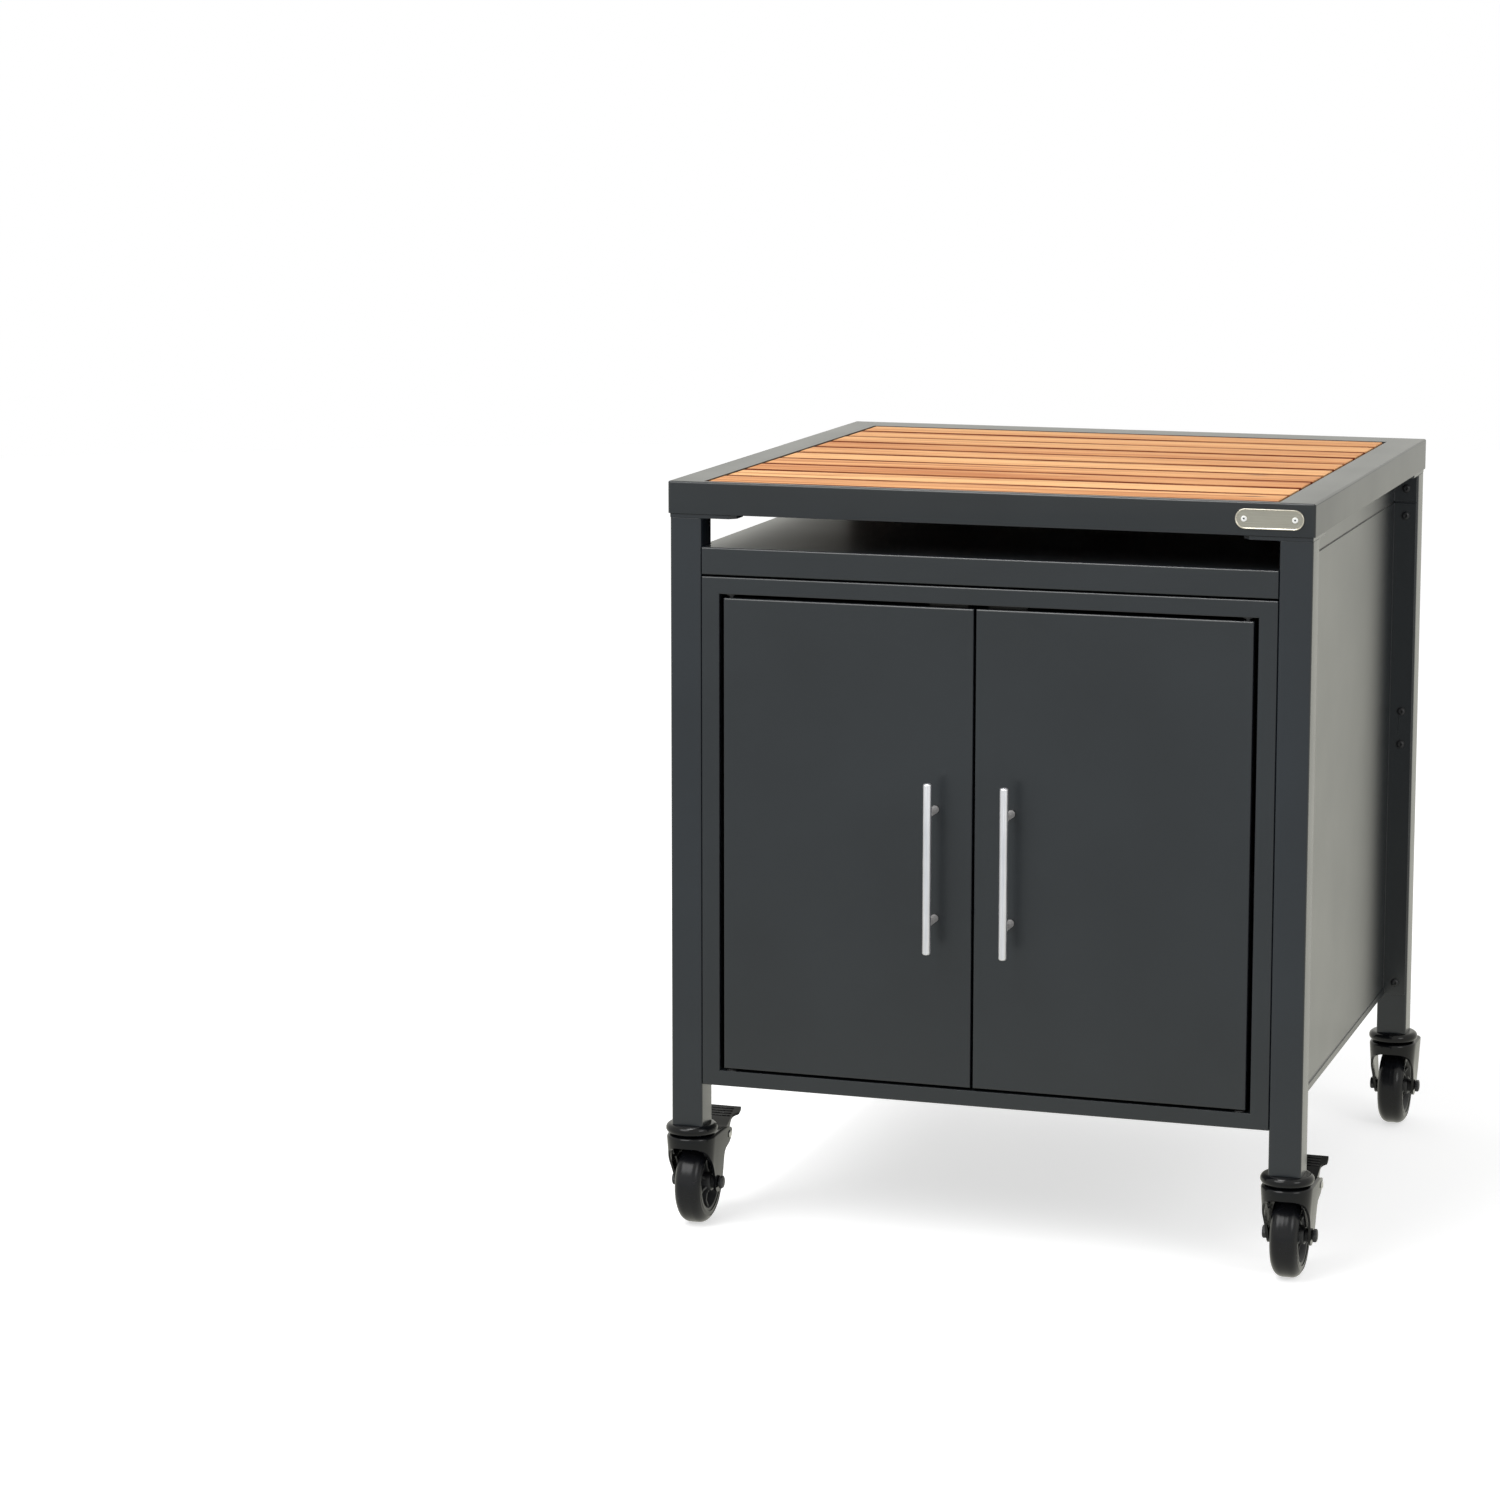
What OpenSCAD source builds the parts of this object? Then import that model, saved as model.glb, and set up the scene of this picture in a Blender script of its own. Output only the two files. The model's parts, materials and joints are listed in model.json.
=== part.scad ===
// Grill expansion cabinet: a square frame table with a slatted wood insert,
// an open tray slot under the top, a steel cabinet with a pair of doors, and four swivel casters.
// Front faces -Y, +X is to the viewer's right, +Z is up, and z = 0 is the floor.

/* [Overall] */
// Width of the top frame, left to right
overall_w = 760; // [640:10:1000]
// Depth of the top frame, front to back
overall_d = 760; // [640:10:1000]
// Height from the leg ends to the top surface
body_h = 770; // [700:10:900]

/* [Top frame] */
// Height of the apron round the top
apron_h = 38; // [36:1:48]
// Width of the rim at the left and right
rim_side = 42; // [36:1:60]
// Width of the rim at the front
rim_front = 8; // [8:1:50]
// Width of the rim at the back
rim_back = 54; // [26:1:60]
// Thickness of the folded sheet of the top frame
top_sheet = 2.5; // [2:0.5:3]
// Radius of the upright corners of the top frame
top_corner_r = 4; // [3.5:0.5:8]
// Radius of the fold between the rim and the apron
top_edge_r = 3; // [2:0.5:3.5]
// Width of the ledge that carries the wood insert
ledge_w = 16; // [12:1:24]

/* [Wood insert] */
// Number of slats
slat_count = 10; // [8:1:12]
// Thickness of a slat
slat_t = 20; // [16:1:21]
// Gap between two slats
slat_gap = 5.5; // [2:0.5:8]
// Radius of the long top edges of a slat
slat_edge_r = 3; // [1:0.5:4]
// Gap between the insert and the rim
insert_gap = 4; // [1:0.5:5]
// Number of battens under the slats
batten_count = 3; // [2:1:4]
// Width of a batten
batten_w = 40; // [30:1:60]
// Thickness of a batten
batten_t = 14; // [10:1:15]
// Shank radius of the slat screws
slat_screw_r = 2; // [1.5:0.25:2.5]
// Depth that a screw reaches into a slat
slat_screw_bite = 12; // [8:1:14]

/* [Legs] */
// Outside size of the square leg tube
leg_size = 38; // [36:1:50]
// Wall of the leg tube
leg_wall = 2; // [1.5:0.5:3]
// Outside radius of the leg tube's corners
leg_corner_r = 3; // [2.5:0.5:5]
// Distance from the apron's face in to the legs' outer faces
leg_inset = 2.3; // [2:0.1:5]
// Thickness of the corner plates on the legs
corner_plate_t = 5; // [4:1:8]
// Length that a corner plate reaches past its leg
corner_plate_reach = 42; // [36:1:60]
// Thickness of the gusset inside each corner of the top frame
gusset_t = 3; // [2:0.5:5]
// Shank radius of the bolts that hold the top frame to the legs
frame_bolt_r = 4; // [3:0.5:4]
// Height of the lower row of joining holes above the leg ends
join_low = 120; // [80:5:200]
// Distance between the two rows of joining holes
join_rise = 480; // [300:10:500]
// Radius of the joining holes in the left legs
join_hole_r = 4.5; // [3.5:0.5:5]

/* [Tray and cabinet] */
// Height of the open slot between the apron and the tray
slot_h = 38.5; // [30:0.5:60]
// Height of the tray's front band
tray_h = 32; // [24:1:40]
// Shadow gap between the tray band and the cabinet's face frame
tray_gap = 2; // [1:0.5:5]
// Height of the cabinet's lower edge above the leg ends
cabinet_lift = 52; // [40:1:100]
// Thickness of the panels, the tray and the floor
panel_t = 2; // [1.5:0.5:2.5]
// Distance from the legs' outer faces in to the panels
panel_recess = 30; // [29.5:0.5:34]
// Width of the panels' bolting flanges
flange_w = 28; // [22:1:29]
// Height of the doubled hem along the panels' lower edges
hem_h = 8; // [5:1:12]
// Amount that the hem stands out
hem_out = 1.5; // [1:0.5:3]
// Width of the seam between the lower and upper panels
seam = 2; // [1:0.5:4]
// Height of the folded edges of the cabinet floor
floor_edge_h = 12; // [8:1:14]
// Height of the inner shelf above the cabinet floor
shelf_rise = 270; // [200:10:400]
// Setback of the inner shelf behind the doors
shelf_setback = 30; // [20:5:80]
// Height of the inner shelf's folded front edge
shelf_lip = 20; // [12:1:30]
// Radius of the studs that carry the inner shelf
shelf_stud_r = 3.5; // [3:0.5:5]
// Length of a shelf stud
shelf_stud_len = 14; // [10:1:20]
// Shank radius of the panel bolts
panel_bolt_r = 3; // [2:0.5:3]

/* [Face frame] */
// Width of the face frame's stiles
stile_w = 22; // [20:1:40]
// Height of the face frame's top rail
top_rail_h = 20; // [18:1:40]
// Height of the face frame's bottom rail
bottom_rail_h = 18.6; // [16.6:1:40]
// Depth of the face frame
frame_depth = 20; // [19:1:30]
// Sheet thickness of the face frame
frame_sheet = 1.5; // [1:0.5:2]

/* [Doors] */
// Thickness of a door
door_t = 16; // [14:0.5:16.5]
// Sheet thickness of a door's skin
door_sheet = 1.5; // [1:0.5:2]
// Sheet thickness of a door's liner
liner_sheet = 1.2; // [1:0.1:2]
// Gap beside a door at the hinge stile
door_gap_side = 5; // [4.5:0.5:8]
// Gap above the doors
door_gap_top = 4.5; // [3.5:0.5:6]
// Gap below the doors
door_gap_bottom = 3; // [2.5:0.5:6]
// Gap between the two doors
door_gap_centre = 2.5; // [1.5:0.5:4]
// Distance from the cabinet's middle to the gap between the doors, negative to the left
door_split = -10; // [-20:1:20]
// Radius of the pivot pins
pivot_r = 3; // [2:0.5:3.5]
// Length of a pivot pin inside its bush
pivot_bite = 10; // [8:1:11]
// Wall of a pivot bush
bush_wall = 2; // [1.5:0.5:2.5]
// Thickness of a bush's flange
bush_flange_t = 1.5; // [1:0.5:2]

/* [Handles] */
// Length of a handle bar
handle_len = 200; // [150:10:320]
// Radius of a handle bar
handle_r = 5; // [4:0.5:8]
// Radius of a handle's posts
post_r = 4.5; // [4:0.5:6]
// Distance between a handle's two posts
post_spacing = 128; // [96:8:140]
// Distance from the door's face to the bar's axis
standoff = 34; // [25:1:45]
// Distance from the gap between the doors to a handle's axis
handle_offset = 44; // [30:1:80]
// Distance of the handles' middle below the doors' middle
handle_drop = 18; // [0:1:60]
// Shank radius of the handle screws
handle_screw_r = 2; // [1.5:0.5:2.5]

/* [Nameplate] */
// Length of the nameplate
plate_len = 78; // [60:1:100]
// Height of the nameplate
plate_h = 23; // [16:1:28]
// Thickness of the nameplate
plate_t = 1.2; // [0.8:0.2:2]
// Width of the nameplate's raised edge
plate_edge_w = 1.4; // [1:0.2:2]
// Height of the nameplate's raised edge
plate_edge_h = 0.6; // [0.4:0.2:1]
// Distance from the right end of the apron to the nameplate's middle
plate_from_end = 51.5; // [50:0.5:120]
// Distance between the nameplate's two rivets
rivet_spacing = 57.6; // [40:0.1:60]

/* [Casters] */
// Clearance between the tyre and the fork's head plate
tyre_clear = 11.5; // [9.5:0.5:20]
// Radius of a caster wheel
wheel_r = 50; // [45:1:50]
// Width of a caster wheel
wheel_w = 32; // [26:1:34]
// Thickness of the rubber tyre
tyre_t = 14; // [10:1:16]
// Distance from the swivel axis back to the wheel's axle
trail = 24; // [20:1:26]
// Radius of the dust ring at the leg end
ring_r = 31; // [30.5:0.5:34]
// Height of the dust ring
ring_h = 12; // [10:1:14]
// Radius of the fork's head
fork_r = 30; // [29:0.5:30]
// Half the fork's width at the axle
fork_foot = 26; // [25:0.5:28]
// Sheet thickness of the fork
fork_sheet = 3; // [2.5:0.5:3]
// Radius of the swivel pin
kingpin_r = 7; // [6:0.5:8]
// Radius of the wheel axle
axle_r = 5; // [4:0.5:5]
// Half the width of the brake pedal's tread
pedal_half = 30; // [28:1:32]
// Radius of the threaded stem in the leg
stem_r = 6; // [5:0.5:8]
// Length of the stem in the leg
stem_len = 24; // [18:1:30]

/* [Hidden] */
$fn = 48;
// Radial clearance of a pin or shaft that turns in its bore
run_fit = 0.05;
// Clearance between two fixed pieces that sit in each other
seat_gap = 0.2;
// Clearance between faces that slide or swing past each other
slide_gap = 0.3;
// Radial clearance of a bolt in its hole
bolt_gap = 0.1;
// Overshoot of a cut past the face it opens
eps = 1;

// Levels, from the floor up
race_h = 1.5;
fork_top_z = 2 * wheel_r + tyre_clear + fork_sheet;
caster_h = fork_top_z + race_h + ring_h;
top_z = caster_h + body_h;
apron_z = top_z - apron_h;
plate_z = apron_z - corner_plate_t;
tray_z = apron_z - slot_h;
tray_low_z = tray_z - tray_h;
face_top_z = tray_low_z - tray_gap;
cabinet_z = caster_h + cabinet_lift;
opening_top_z = face_top_z - top_rail_h;
opening_low_z = cabinet_z + bottom_rail_h;
door_top_z = opening_top_z - door_gap_top;
door_low_z = opening_low_z + door_gap_bottom;
floor_z = opening_low_z - slide_gap;
shelf_z = floor_z + shelf_rise;
ledge_z = top_z - slat_t;

// Distances from the cabinet's middle
half_w = overall_w / 2;
half_d = overall_d / 2;
leg_out_x = half_w - leg_inset;
leg_out_y = half_d - leg_inset;
leg_x = leg_out_x - leg_size / 2;
leg_y = leg_out_y - leg_size / 2;
leg_in_x = leg_out_x - leg_size;
leg_in_y = leg_out_y - leg_size;
panel_x = leg_out_x - panel_recess;
panel_y = leg_out_y - panel_recess;
between_x = leg_in_x - seat_gap;
between_y = leg_in_y - seat_gap;
front_y = -leg_out_y;
open_x = half_w - rim_side;
open_y = half_d - (rim_front + rim_back) / 2;
open_mid_y = (rim_front - rim_back) / 2;

// Doors
door_out_x = between_x - stile_w - door_gap_side;
door_h = door_top_z - door_low_z;
door_back_y = front_y + door_t;
pivot_in = door_t / 2;
pivot_x = door_out_x - pivot_in;
pivot_y = front_y + pivot_in;
bush_r = pivot_r + bush_wall;
bush_len = pivot_bite + 2;
pivot_block_len = 20;
pivot_block_t = 4;

// Handles
handle_y = front_y - standoff;
handle_z = (door_top_z + door_low_z) / 2 - handle_drop;
screw_head_t = 2.5;

// Wood insert
insert_x = open_x - insert_gap;
insert_y = open_y - insert_gap;
slat_pitch = (2 * insert_y + slat_gap) / slat_count;
slat_w = slat_pitch - slat_gap;
batten_len = 2 * (open_y - ledge_w - insert_gap);
batten_in = 117;
batten_step = 2 * (insert_x - batten_in) / (batten_count - 1);
slat_screw_head_r = 2 * slat_screw_r;

// Bolt and rivet places
frame_bolt_in = panel_recess / 2;
frame_bolt_out = 12;
frame_bolt_sink = 3.2;
panel_bolt_x = leg_out_x - panel_recess / 2;
panel_bolt_y = leg_out_y - panel_recess / 2;
panel_bolt_head_r = 5.3;
panel_bolt_head_t = 3.3;
bolt_tip = 6;
rivet_r = 1.5;
bolt_row_margin = 16;
bolt_row_shares = [0, 0.515, 0.585, 1];
panel_bolt_zs = [for (share = bolt_row_shares) cabinet_z + bolt_row_margin
                 + share * (tray_z - seam - cabinet_z - 2 * bolt_row_margin)];
upper_bolt_z = (tray_z + plate_z) / 2;
all_bolt_zs = concat(panel_bolt_zs, [upper_bolt_z]);

// Casters
race_r = 20;
kingpin_low_z = fork_top_z - fork_sheet - slide_gap;
rivet_t = 4;
axle_z = wheel_r;
shoulder_z = fork_top_z - 3.5;
arch_drops = [12.5, 27, 40];
fork_spread = (fork_r - fork_foot) / (shoulder_z - axle_z);
hub_half = wheel_w / 2 + 2;
hub_r = wheel_r - tyre_t;
hub_boss_r = axle_r + 6;
axle_boss_r = 12;
fork_back_y = trail + axle_boss_r + 2;
pedal_back = 30;
pedal_drop = 12.5;
pedal_pin_y = trail + pedal_back;
pedal_pin_z = fork_top_z - pedal_drop;
pedal_pin_r = 3;
pedal_lug_r = 9;
pedal_eye_r = 5.5;
pedal_half_in = 24;
shoe_clear = 3.2;
plug_h = 28;

// Shift that puts the middle of the whole footprint, handles and wheels included, at y = 0
reach_front = -handle_y + handle_r;
reach_back = leg_y + trail + wheel_r;
cabinet_y = (reach_front - reach_back) / 2;

FRONT = -1;
BACK = 1;
LEFT = -1;
RIGHT = 1;

// Helpers

// Moves a piece from the cabinet's own middle to its place in the shared frame
module placed() {
    translate([0, cabinet_y, 0]) children();
}

// A block centred in X and Y, between two levels
module block(w, d, z0, z1) {
    translate([-w / 2, -d / 2, z0]) cube([w, d, z1 - z0]);
}

// A block between two opposite corners
module span(a, b) {
    translate(a) cube(b - a);
}

// A rectangle with round corners, centred
module round_rect(w, d, r) {
    square([w - 2 * r, d], center = true);
    square([w, d - 2 * r], center = true);
    for (x = [-1, 1], y = [-1, 1])
        translate([x * (w / 2 - r), y * (d / 2 - r)]) circle(r);
}

// A cross-section with two round top corners, its foot at y = 0
module soft_section(w, h, r) {
    translate([-w / 2, 0]) square([w, h - r]);
    translate([-w / 2 + r, 0]) square([w - 2 * r, h]);
    for (s = [-1, 1]) translate([s * (w / 2 - r), h - r]) circle(r);
}

// A slab with round upright corners and a round top edge
module soft_slab(w, d, h, corner_r, edge_r) {
    intersection() {
        linear_extrude(h) round_rect(w, d, corner_r);
        rotate([90, 0, 0]) linear_extrude(d + 2 * eps, center = true) soft_section(w, h, edge_r);
        rotate([90, 0, 90]) linear_extrude(w + 2 * eps, center = true) soft_section(d, h, edge_r);
    }
}

// A bolt along +Z with its button head below z = 0
module button_bolt(r, head_r, head_t, length) {
    cylinder(r = r, h = length);
    translate([0, 0, -head_t]) {
        cylinder(r1 = head_r - 1.2, r2 = head_r, h = head_t / 2);
        translate([0, 0, head_t / 2]) cylinder(r = head_r, h = head_t / 2);
    }
}

// Turns +Z to +Y, +Z to -Y, or +Z to +X
module along_y() { rotate([-90, 0, 0]) children(); }
module along_minus_y() { rotate([90, 0, 0]) children(); }
module along_x() { rotate([0, 90, 0]) children(); }

// A solid with an outline in the YZ plane, between two places in X
module side_profile(points, x0, x1) {
    translate([x0, 0, 0]) rotate([90, 0, 90]) linear_extrude(x1 - x0) polygon(points);
}

// Top frame and wood insert

// Outline of one corner plate: an L with cut-off ends, in the +X +Y corner
module corner_outline(edge) {
    x_far = leg_out_x - edge;
    y_far = leg_out_y - edge;
    x_near = leg_out_x - panel_recess + slide_gap;
    y_near = leg_out_y - panel_recess + slide_gap;
    x_end = leg_in_x - corner_plate_reach;
    y_end = leg_in_y - corner_plate_reach;
    cut = 8;
    polygon([
        [x_far, y_far], [x_end + cut, y_far], [x_end, y_far - cut], [x_end, y_near],
        [x_near, y_near], [x_near, y_end], [x_far - cut, y_end], [x_far, y_end + cut]
    ]);
}

// Places of the two frame bolts in the +X +Y corner
function frame_bolt_places() = [
    [leg_out_x - frame_bolt_in, leg_in_y - corner_plate_reach + frame_bolt_out],
    [leg_in_x - corner_plate_reach + frame_bolt_out, leg_out_y - frame_bolt_in]
];

module at_four_corners() {
    children();
    mirror([1, 0, 0]) children();
    mirror([0, 1, 0]) children();
    mirror([1, 0, 0]) mirror([0, 1, 0]) children();
}

// Moves a piece to the middle of the opening that takes the wood insert
module at_opening() {
    translate([0, open_mid_y, 0]) children();
}

module top_frame() {
    inner_w = overall_w - 2 * top_sheet;
    inner_d = overall_d - 2 * top_sheet;
    color([0.24, 0.25, 0.26]) placed() difference() {
        union() {
            difference() {
                translate([0, 0, apron_z])
                    soft_slab(overall_w, overall_d, apron_h, top_corner_r, top_edge_r);
                // Hollow of the rim, between the apron and the inner wall
                difference() {
                    block(inner_w, inner_d, apron_z - eps, top_z - top_sheet);
                    at_opening() block(2 * (open_x + top_sheet), 2 * (open_y + top_sheet),
                                       ledge_z - top_sheet, top_z);
                }
                // Well that takes the wood insert
                at_opening() {
                    block(2 * open_x, 2 * open_y, ledge_z, top_z + eps);
                    block(2 * (open_x - ledge_w), 2 * (open_y - ledge_w), apron_z - eps, top_z);
                }
            }
            at_four_corners() translate([0, 0, apron_z])
                linear_extrude(gusset_t) corner_outline(top_sheet - leg_inset - 0.1);
        }
        at_four_corners() for (p = frame_bolt_places())
            translate([p[0], p[1], apron_z - eps])
                cylinder(r = frame_bolt_r + bolt_gap, h = gusset_t + 2 * eps);
        rivet_holes();
    }
}

module rivet_holes() {
    for (s = [-1, 1])
        translate([half_w - plate_from_end + s * rivet_spacing / 2, -half_d - eps,
                   top_z - apron_h / 2])
            along_y() cylinder(r = rivet_r + bolt_gap, h = top_sheet + 2 * eps);
}

function slat_y(i) = -insert_y + slat_w / 2 + i * slat_pitch;
function batten_x(i) = (i - (batten_count - 1) / 2) * batten_step;

module wood_slats() {
    color([0.78, 0.52, 0.31]) placed() at_opening() difference() {
        for (i = [0 : slat_count - 1])
            translate([-insert_x, slat_y(i), ledge_z])
                rotate([90, 0, 90]) linear_extrude(2 * insert_x)
                    soft_section(slat_w, slat_t, slat_edge_r);
        for (i = [0 : slat_count - 1], j = [0 : batten_count - 1])
            translate([batten_x(j), slat_y(i), ledge_z - eps])
                cylinder(r = slat_screw_r + bolt_gap, h = slat_screw_bite + seat_gap + eps);
    }
}

module slat_battens() {
    color([0.62, 0.42, 0.26]) placed() at_opening() difference() {
        for (j = [0 : batten_count - 1])
            translate([batten_x(j), 0, 0])
                block(batten_w, batten_len, ledge_z - batten_t, ledge_z);
        for (i = [0 : slat_count - 1], j = [0 : batten_count - 1])
            translate([batten_x(j), slat_y(i), ledge_z - batten_t - eps]) {
                cylinder(r = slat_screw_r + bolt_gap, h = batten_t + 2 * eps);
                cylinder(r = slat_screw_head_r + bolt_gap, h = screw_head_t + eps);
            }
    }
}

module slat_screws() {
    color([0.72, 0.72, 0.70]) placed() at_opening()
        for (i = [0 : slat_count - 1], j = [0 : batten_count - 1])
            translate([batten_x(j), slat_y(i), ledge_z - batten_t]) {
                cylinder(r = slat_screw_head_r, h = screw_head_t);
                cylinder(r = slat_screw_r, h = batten_t + slat_screw_bite);
            }
}

// Legs and corners

// Holes for the bolts of the panels' flanges, in the leg at (side, row)
module leg_bolt_holes(side, row) {
    for (z = side == RIGHT ? all_bolt_zs : panel_bolt_zs)
        translate([side * panel_bolt_x, row * leg_y, z]) along_y()
            translate([0, 0, row == FRONT ? 0 : -leg_size / 2 - eps])
                cylinder(r = panel_bolt_r + bolt_gap, h = leg_size / 2 + eps);
    if (row == BACK)
        for (z = all_bolt_zs)
            translate([side * leg_x, row * panel_bolt_y, z]) along_x()
                translate([0, 0, side == LEFT ? 0 : -leg_size / 2 - eps])
                    cylinder(r = panel_bolt_r + bolt_gap, h = leg_size / 2 + eps);
}

module leg(side, row) {
    color([0.24, 0.25, 0.26]) placed() difference() {
        translate([side * leg_x, row * leg_y, caster_h])
            linear_extrude(plate_z - caster_h) difference() {
                round_rect(leg_size, leg_size, leg_corner_r);
                round_rect(leg_size - 2 * leg_wall, leg_size - 2 * leg_wall,
                           max(leg_corner_r - leg_wall, 0.5));
            }
        leg_bolt_holes(side, row);
        if (side == LEFT)
            for (rise = [0, join_rise])
                translate([-leg_out_x - eps, row * leg_y, caster_h + join_low + rise])
                    along_x() cylinder(r = join_hole_r, h = leg_wall + 2 * eps);
    }
}

module corner_plates() {
    color([0.20, 0.21, 0.22]) placed() at_four_corners() difference() {
        translate([0, 0, plate_z]) linear_extrude(corner_plate_t) corner_outline(0);
        for (p = frame_bolt_places()) translate([p[0], p[1], plate_z]) {
            sunk_bolt(frame_bolt_r + bolt_gap, corner_plate_t + eps);
            translate([0, 0, -eps])
                cylinder(r = frame_bolt_r + bolt_gap + frame_bolt_sink, h = eps);
        }
    }
}

// A bolt along +Z with its flat head sunk to z = 0
module sunk_bolt(r, length) {
    cylinder(r = r, h = length);
    cylinder(r1 = r + frame_bolt_sink, r2 = r, h = frame_bolt_sink);
}

module frame_bolts() {
    color([0.16, 0.16, 0.17]) placed() at_four_corners()
        for (p = frame_bolt_places())
            translate([p[0], p[1], plate_z])
                sunk_bolt(frame_bolt_r, corner_plate_t + gusset_t + bolt_tip);
}

module leg_plugs() {
    plug = leg_size - 2 * leg_wall - 2 * seat_gap;
    color([0.10, 0.10, 0.10]) placed() for (x = [-1, 1], y = [-1, 1])
        translate([x * leg_x, y * leg_y, caster_h]) difference() {
            linear_extrude(plug_h) round_rect(plug, plug, leg_corner_r);
            translate([0, 0, -eps]) cylinder(r = stem_r + bolt_gap, h = plug_h + 2 * eps);
        }
}

// Tray, cabinet and panels

// Plan of a plate that fills the space between the four legs and reaches the panels
module between_legs(reach_x, reach_back, reach_front) {
    translate([-reach_x, -between_y]) square([2 * reach_x, 2 * between_y]);
    translate([-between_x, -reach_front]) square([2 * between_x, reach_back + reach_front]);
}

module tray_shelf() {
    inside_x = panel_x - panel_t - seat_gap;
    inside_y = panel_y - panel_t - seat_gap;
    band_return = 16;
    color([0.24, 0.25, 0.26]) placed() {
        translate([0, 0, tray_z - panel_t]) linear_extrude(panel_t)
            between_legs(inside_x, inside_y, leg_out_y);
        // Front band with its return
        span([-between_x, front_y, tray_low_z], [between_x, front_y + panel_t, tray_z]);
        span([-between_x, front_y, tray_low_z],
             [between_x, front_y + band_return, tray_low_z + panel_t]);
        // Folded edges at the sides and the back
        for (s = [-1, 1])
            translate([s * (inside_x - panel_t / 2), 0, 0])
                block(panel_t, 2 * between_y, tray_low_z, tray_z);
        translate([0, inside_y - panel_t / 2, 0])
            block(2 * between_x, panel_t, tray_low_z, tray_z);
    }
}

// One panel, seen from outside in the XZ plane: its outer face at y = 0 and its flanges in front
module panel(half_len, z0, z1, flange_z1, hem, bolt_zs) {
    difference() {
        union() {
            span([-half_len, 0, z0], [half_len, panel_t, z1]);
            for (s = [-1, 1])
                translate([s * (half_len - panel_t / 2), 0, 0])
                    span([-panel_t / 2, -flange_w, z0], [panel_t / 2, panel_t, flange_z1]);
            if (hem)
                span([-half_len, -hem_out, z0], [half_len, panel_t, z0 + hem_h]);
        }
        for (s = [-1, 1], z = bolt_zs)
            translate([s * half_len, -panel_recess / 2, z]) along_x()
                cylinder(r = panel_bolt_r + bolt_gap, h = 4 * panel_t, center = true);
    }
}

module on_right() { translate([panel_x, 0, 0]) rotate([0, 0, 90]) children(); }
module on_left() { translate([-panel_x, 0, 0]) rotate([0, 0, -90]) children(); }
module on_back() { translate([0, panel_y, 0]) rotate([0, 0, 180]) children(); }

module lower_panel(half_len) {
    panel(half_len, cabinet_z, tray_z - seam, tray_z - seam, true, panel_bolt_zs);
}

module upper_panel(half_len) {
    panel(half_len, tray_z, apron_z + top_edge_r, plate_z - slide_gap, false, [upper_bolt_z]);
}

module side_panel_left() {
    color([0.26, 0.27, 0.28]) placed() on_left() lower_panel(between_y);
}

module side_panel_right() {
    color([0.26, 0.27, 0.28]) placed() on_right() lower_panel(between_y);
}

module cabinet_back() {
    color([0.26, 0.27, 0.28]) placed() on_back() lower_panel(between_x);
}

module slot_panel_right() {
    color([0.26, 0.27, 0.28]) placed() on_right() upper_panel(between_y);
}

module slot_panel_back() {
    color([0.26, 0.27, 0.28]) placed() on_back() upper_panel(between_x);
}

// Button bolts through a panel's two flanges into the legs
module flange_bolts(half_len, zs) {
    for (s = [-1, 1], z = zs)
        translate([s * (half_len - panel_t), -panel_recess / 2, z])
            rotate([0, 90 * s, 0])
                button_bolt(panel_bolt_r, panel_bolt_head_r, panel_bolt_head_t,
                            panel_t + leg_wall + bolt_tip);
}

module panel_bolts() {
    color([0.16, 0.16, 0.17]) placed() {
        on_left() flange_bolts(between_y, panel_bolt_zs);
        on_right() flange_bolts(between_y, all_bolt_zs);
        on_back() flange_bolts(between_x, all_bolt_zs);
    }
}

module face_frame() {
    opening_x = between_x - stile_w;
    back_y = front_y + frame_depth;
    color([0.24, 0.25, 0.26]) placed() difference() {
        span([-between_x, front_y, cabinet_z], [between_x, back_y, face_top_z]);
        span([-opening_x, front_y - eps, opening_low_z], [opening_x, back_y + eps, opening_top_z]);
        // Hollow behind the folded sheet, left solid round the pivot bushes
        difference() {
            span([-between_x + frame_sheet, front_y + frame_sheet, cabinet_z + frame_sheet],
                 [between_x - frame_sheet, back_y + eps, face_top_z - frame_sheet]);
            span([-opening_x - frame_sheet, front_y, opening_low_z - frame_sheet],
                 [opening_x + frame_sheet, back_y + eps, opening_top_z + frame_sheet]);
            for (s = [-1, 1])
                translate([s * pivot_x, pivot_y, cabinet_z])
                    cylinder(r = bush_r + 3, h = face_top_z - cabinet_z);
        }
        for (s = [-1, 1]) {
            translate([s * pivot_x, pivot_y, opening_top_z - eps])
                cylinder(r = bush_r + seat_gap / 2, h = bush_len + seat_gap + eps);
            translate([s * pivot_x, pivot_y, opening_low_z - bush_len - seat_gap])
                cylinder(r = bush_r + seat_gap / 2, h = bush_len + seat_gap + eps);
        }
    }
}

// A bush along +Z with its flange below z = 0
module bush() {
    difference() {
        union() {
            cylinder(r = bush_r, h = bush_len);
            translate([0, 0, -bush_flange_t]) cylinder(r = bush_r + 1.5, h = bush_flange_t);
        }
        translate([0, 0, -bush_flange_t - eps])
            cylinder(r = pivot_r + run_fit, h = bush_len + bush_flange_t + 2 * eps);
    }
}

module pivot_bushes() {
    color([0.12, 0.12, 0.12]) placed() for (s = [-1, 1]) translate([s * pivot_x, pivot_y, 0]) {
        translate([0, 0, opening_top_z]) bush();
        translate([0, 0, opening_low_z]) mirror([0, 0, 1]) bush();
    }
}

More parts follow.
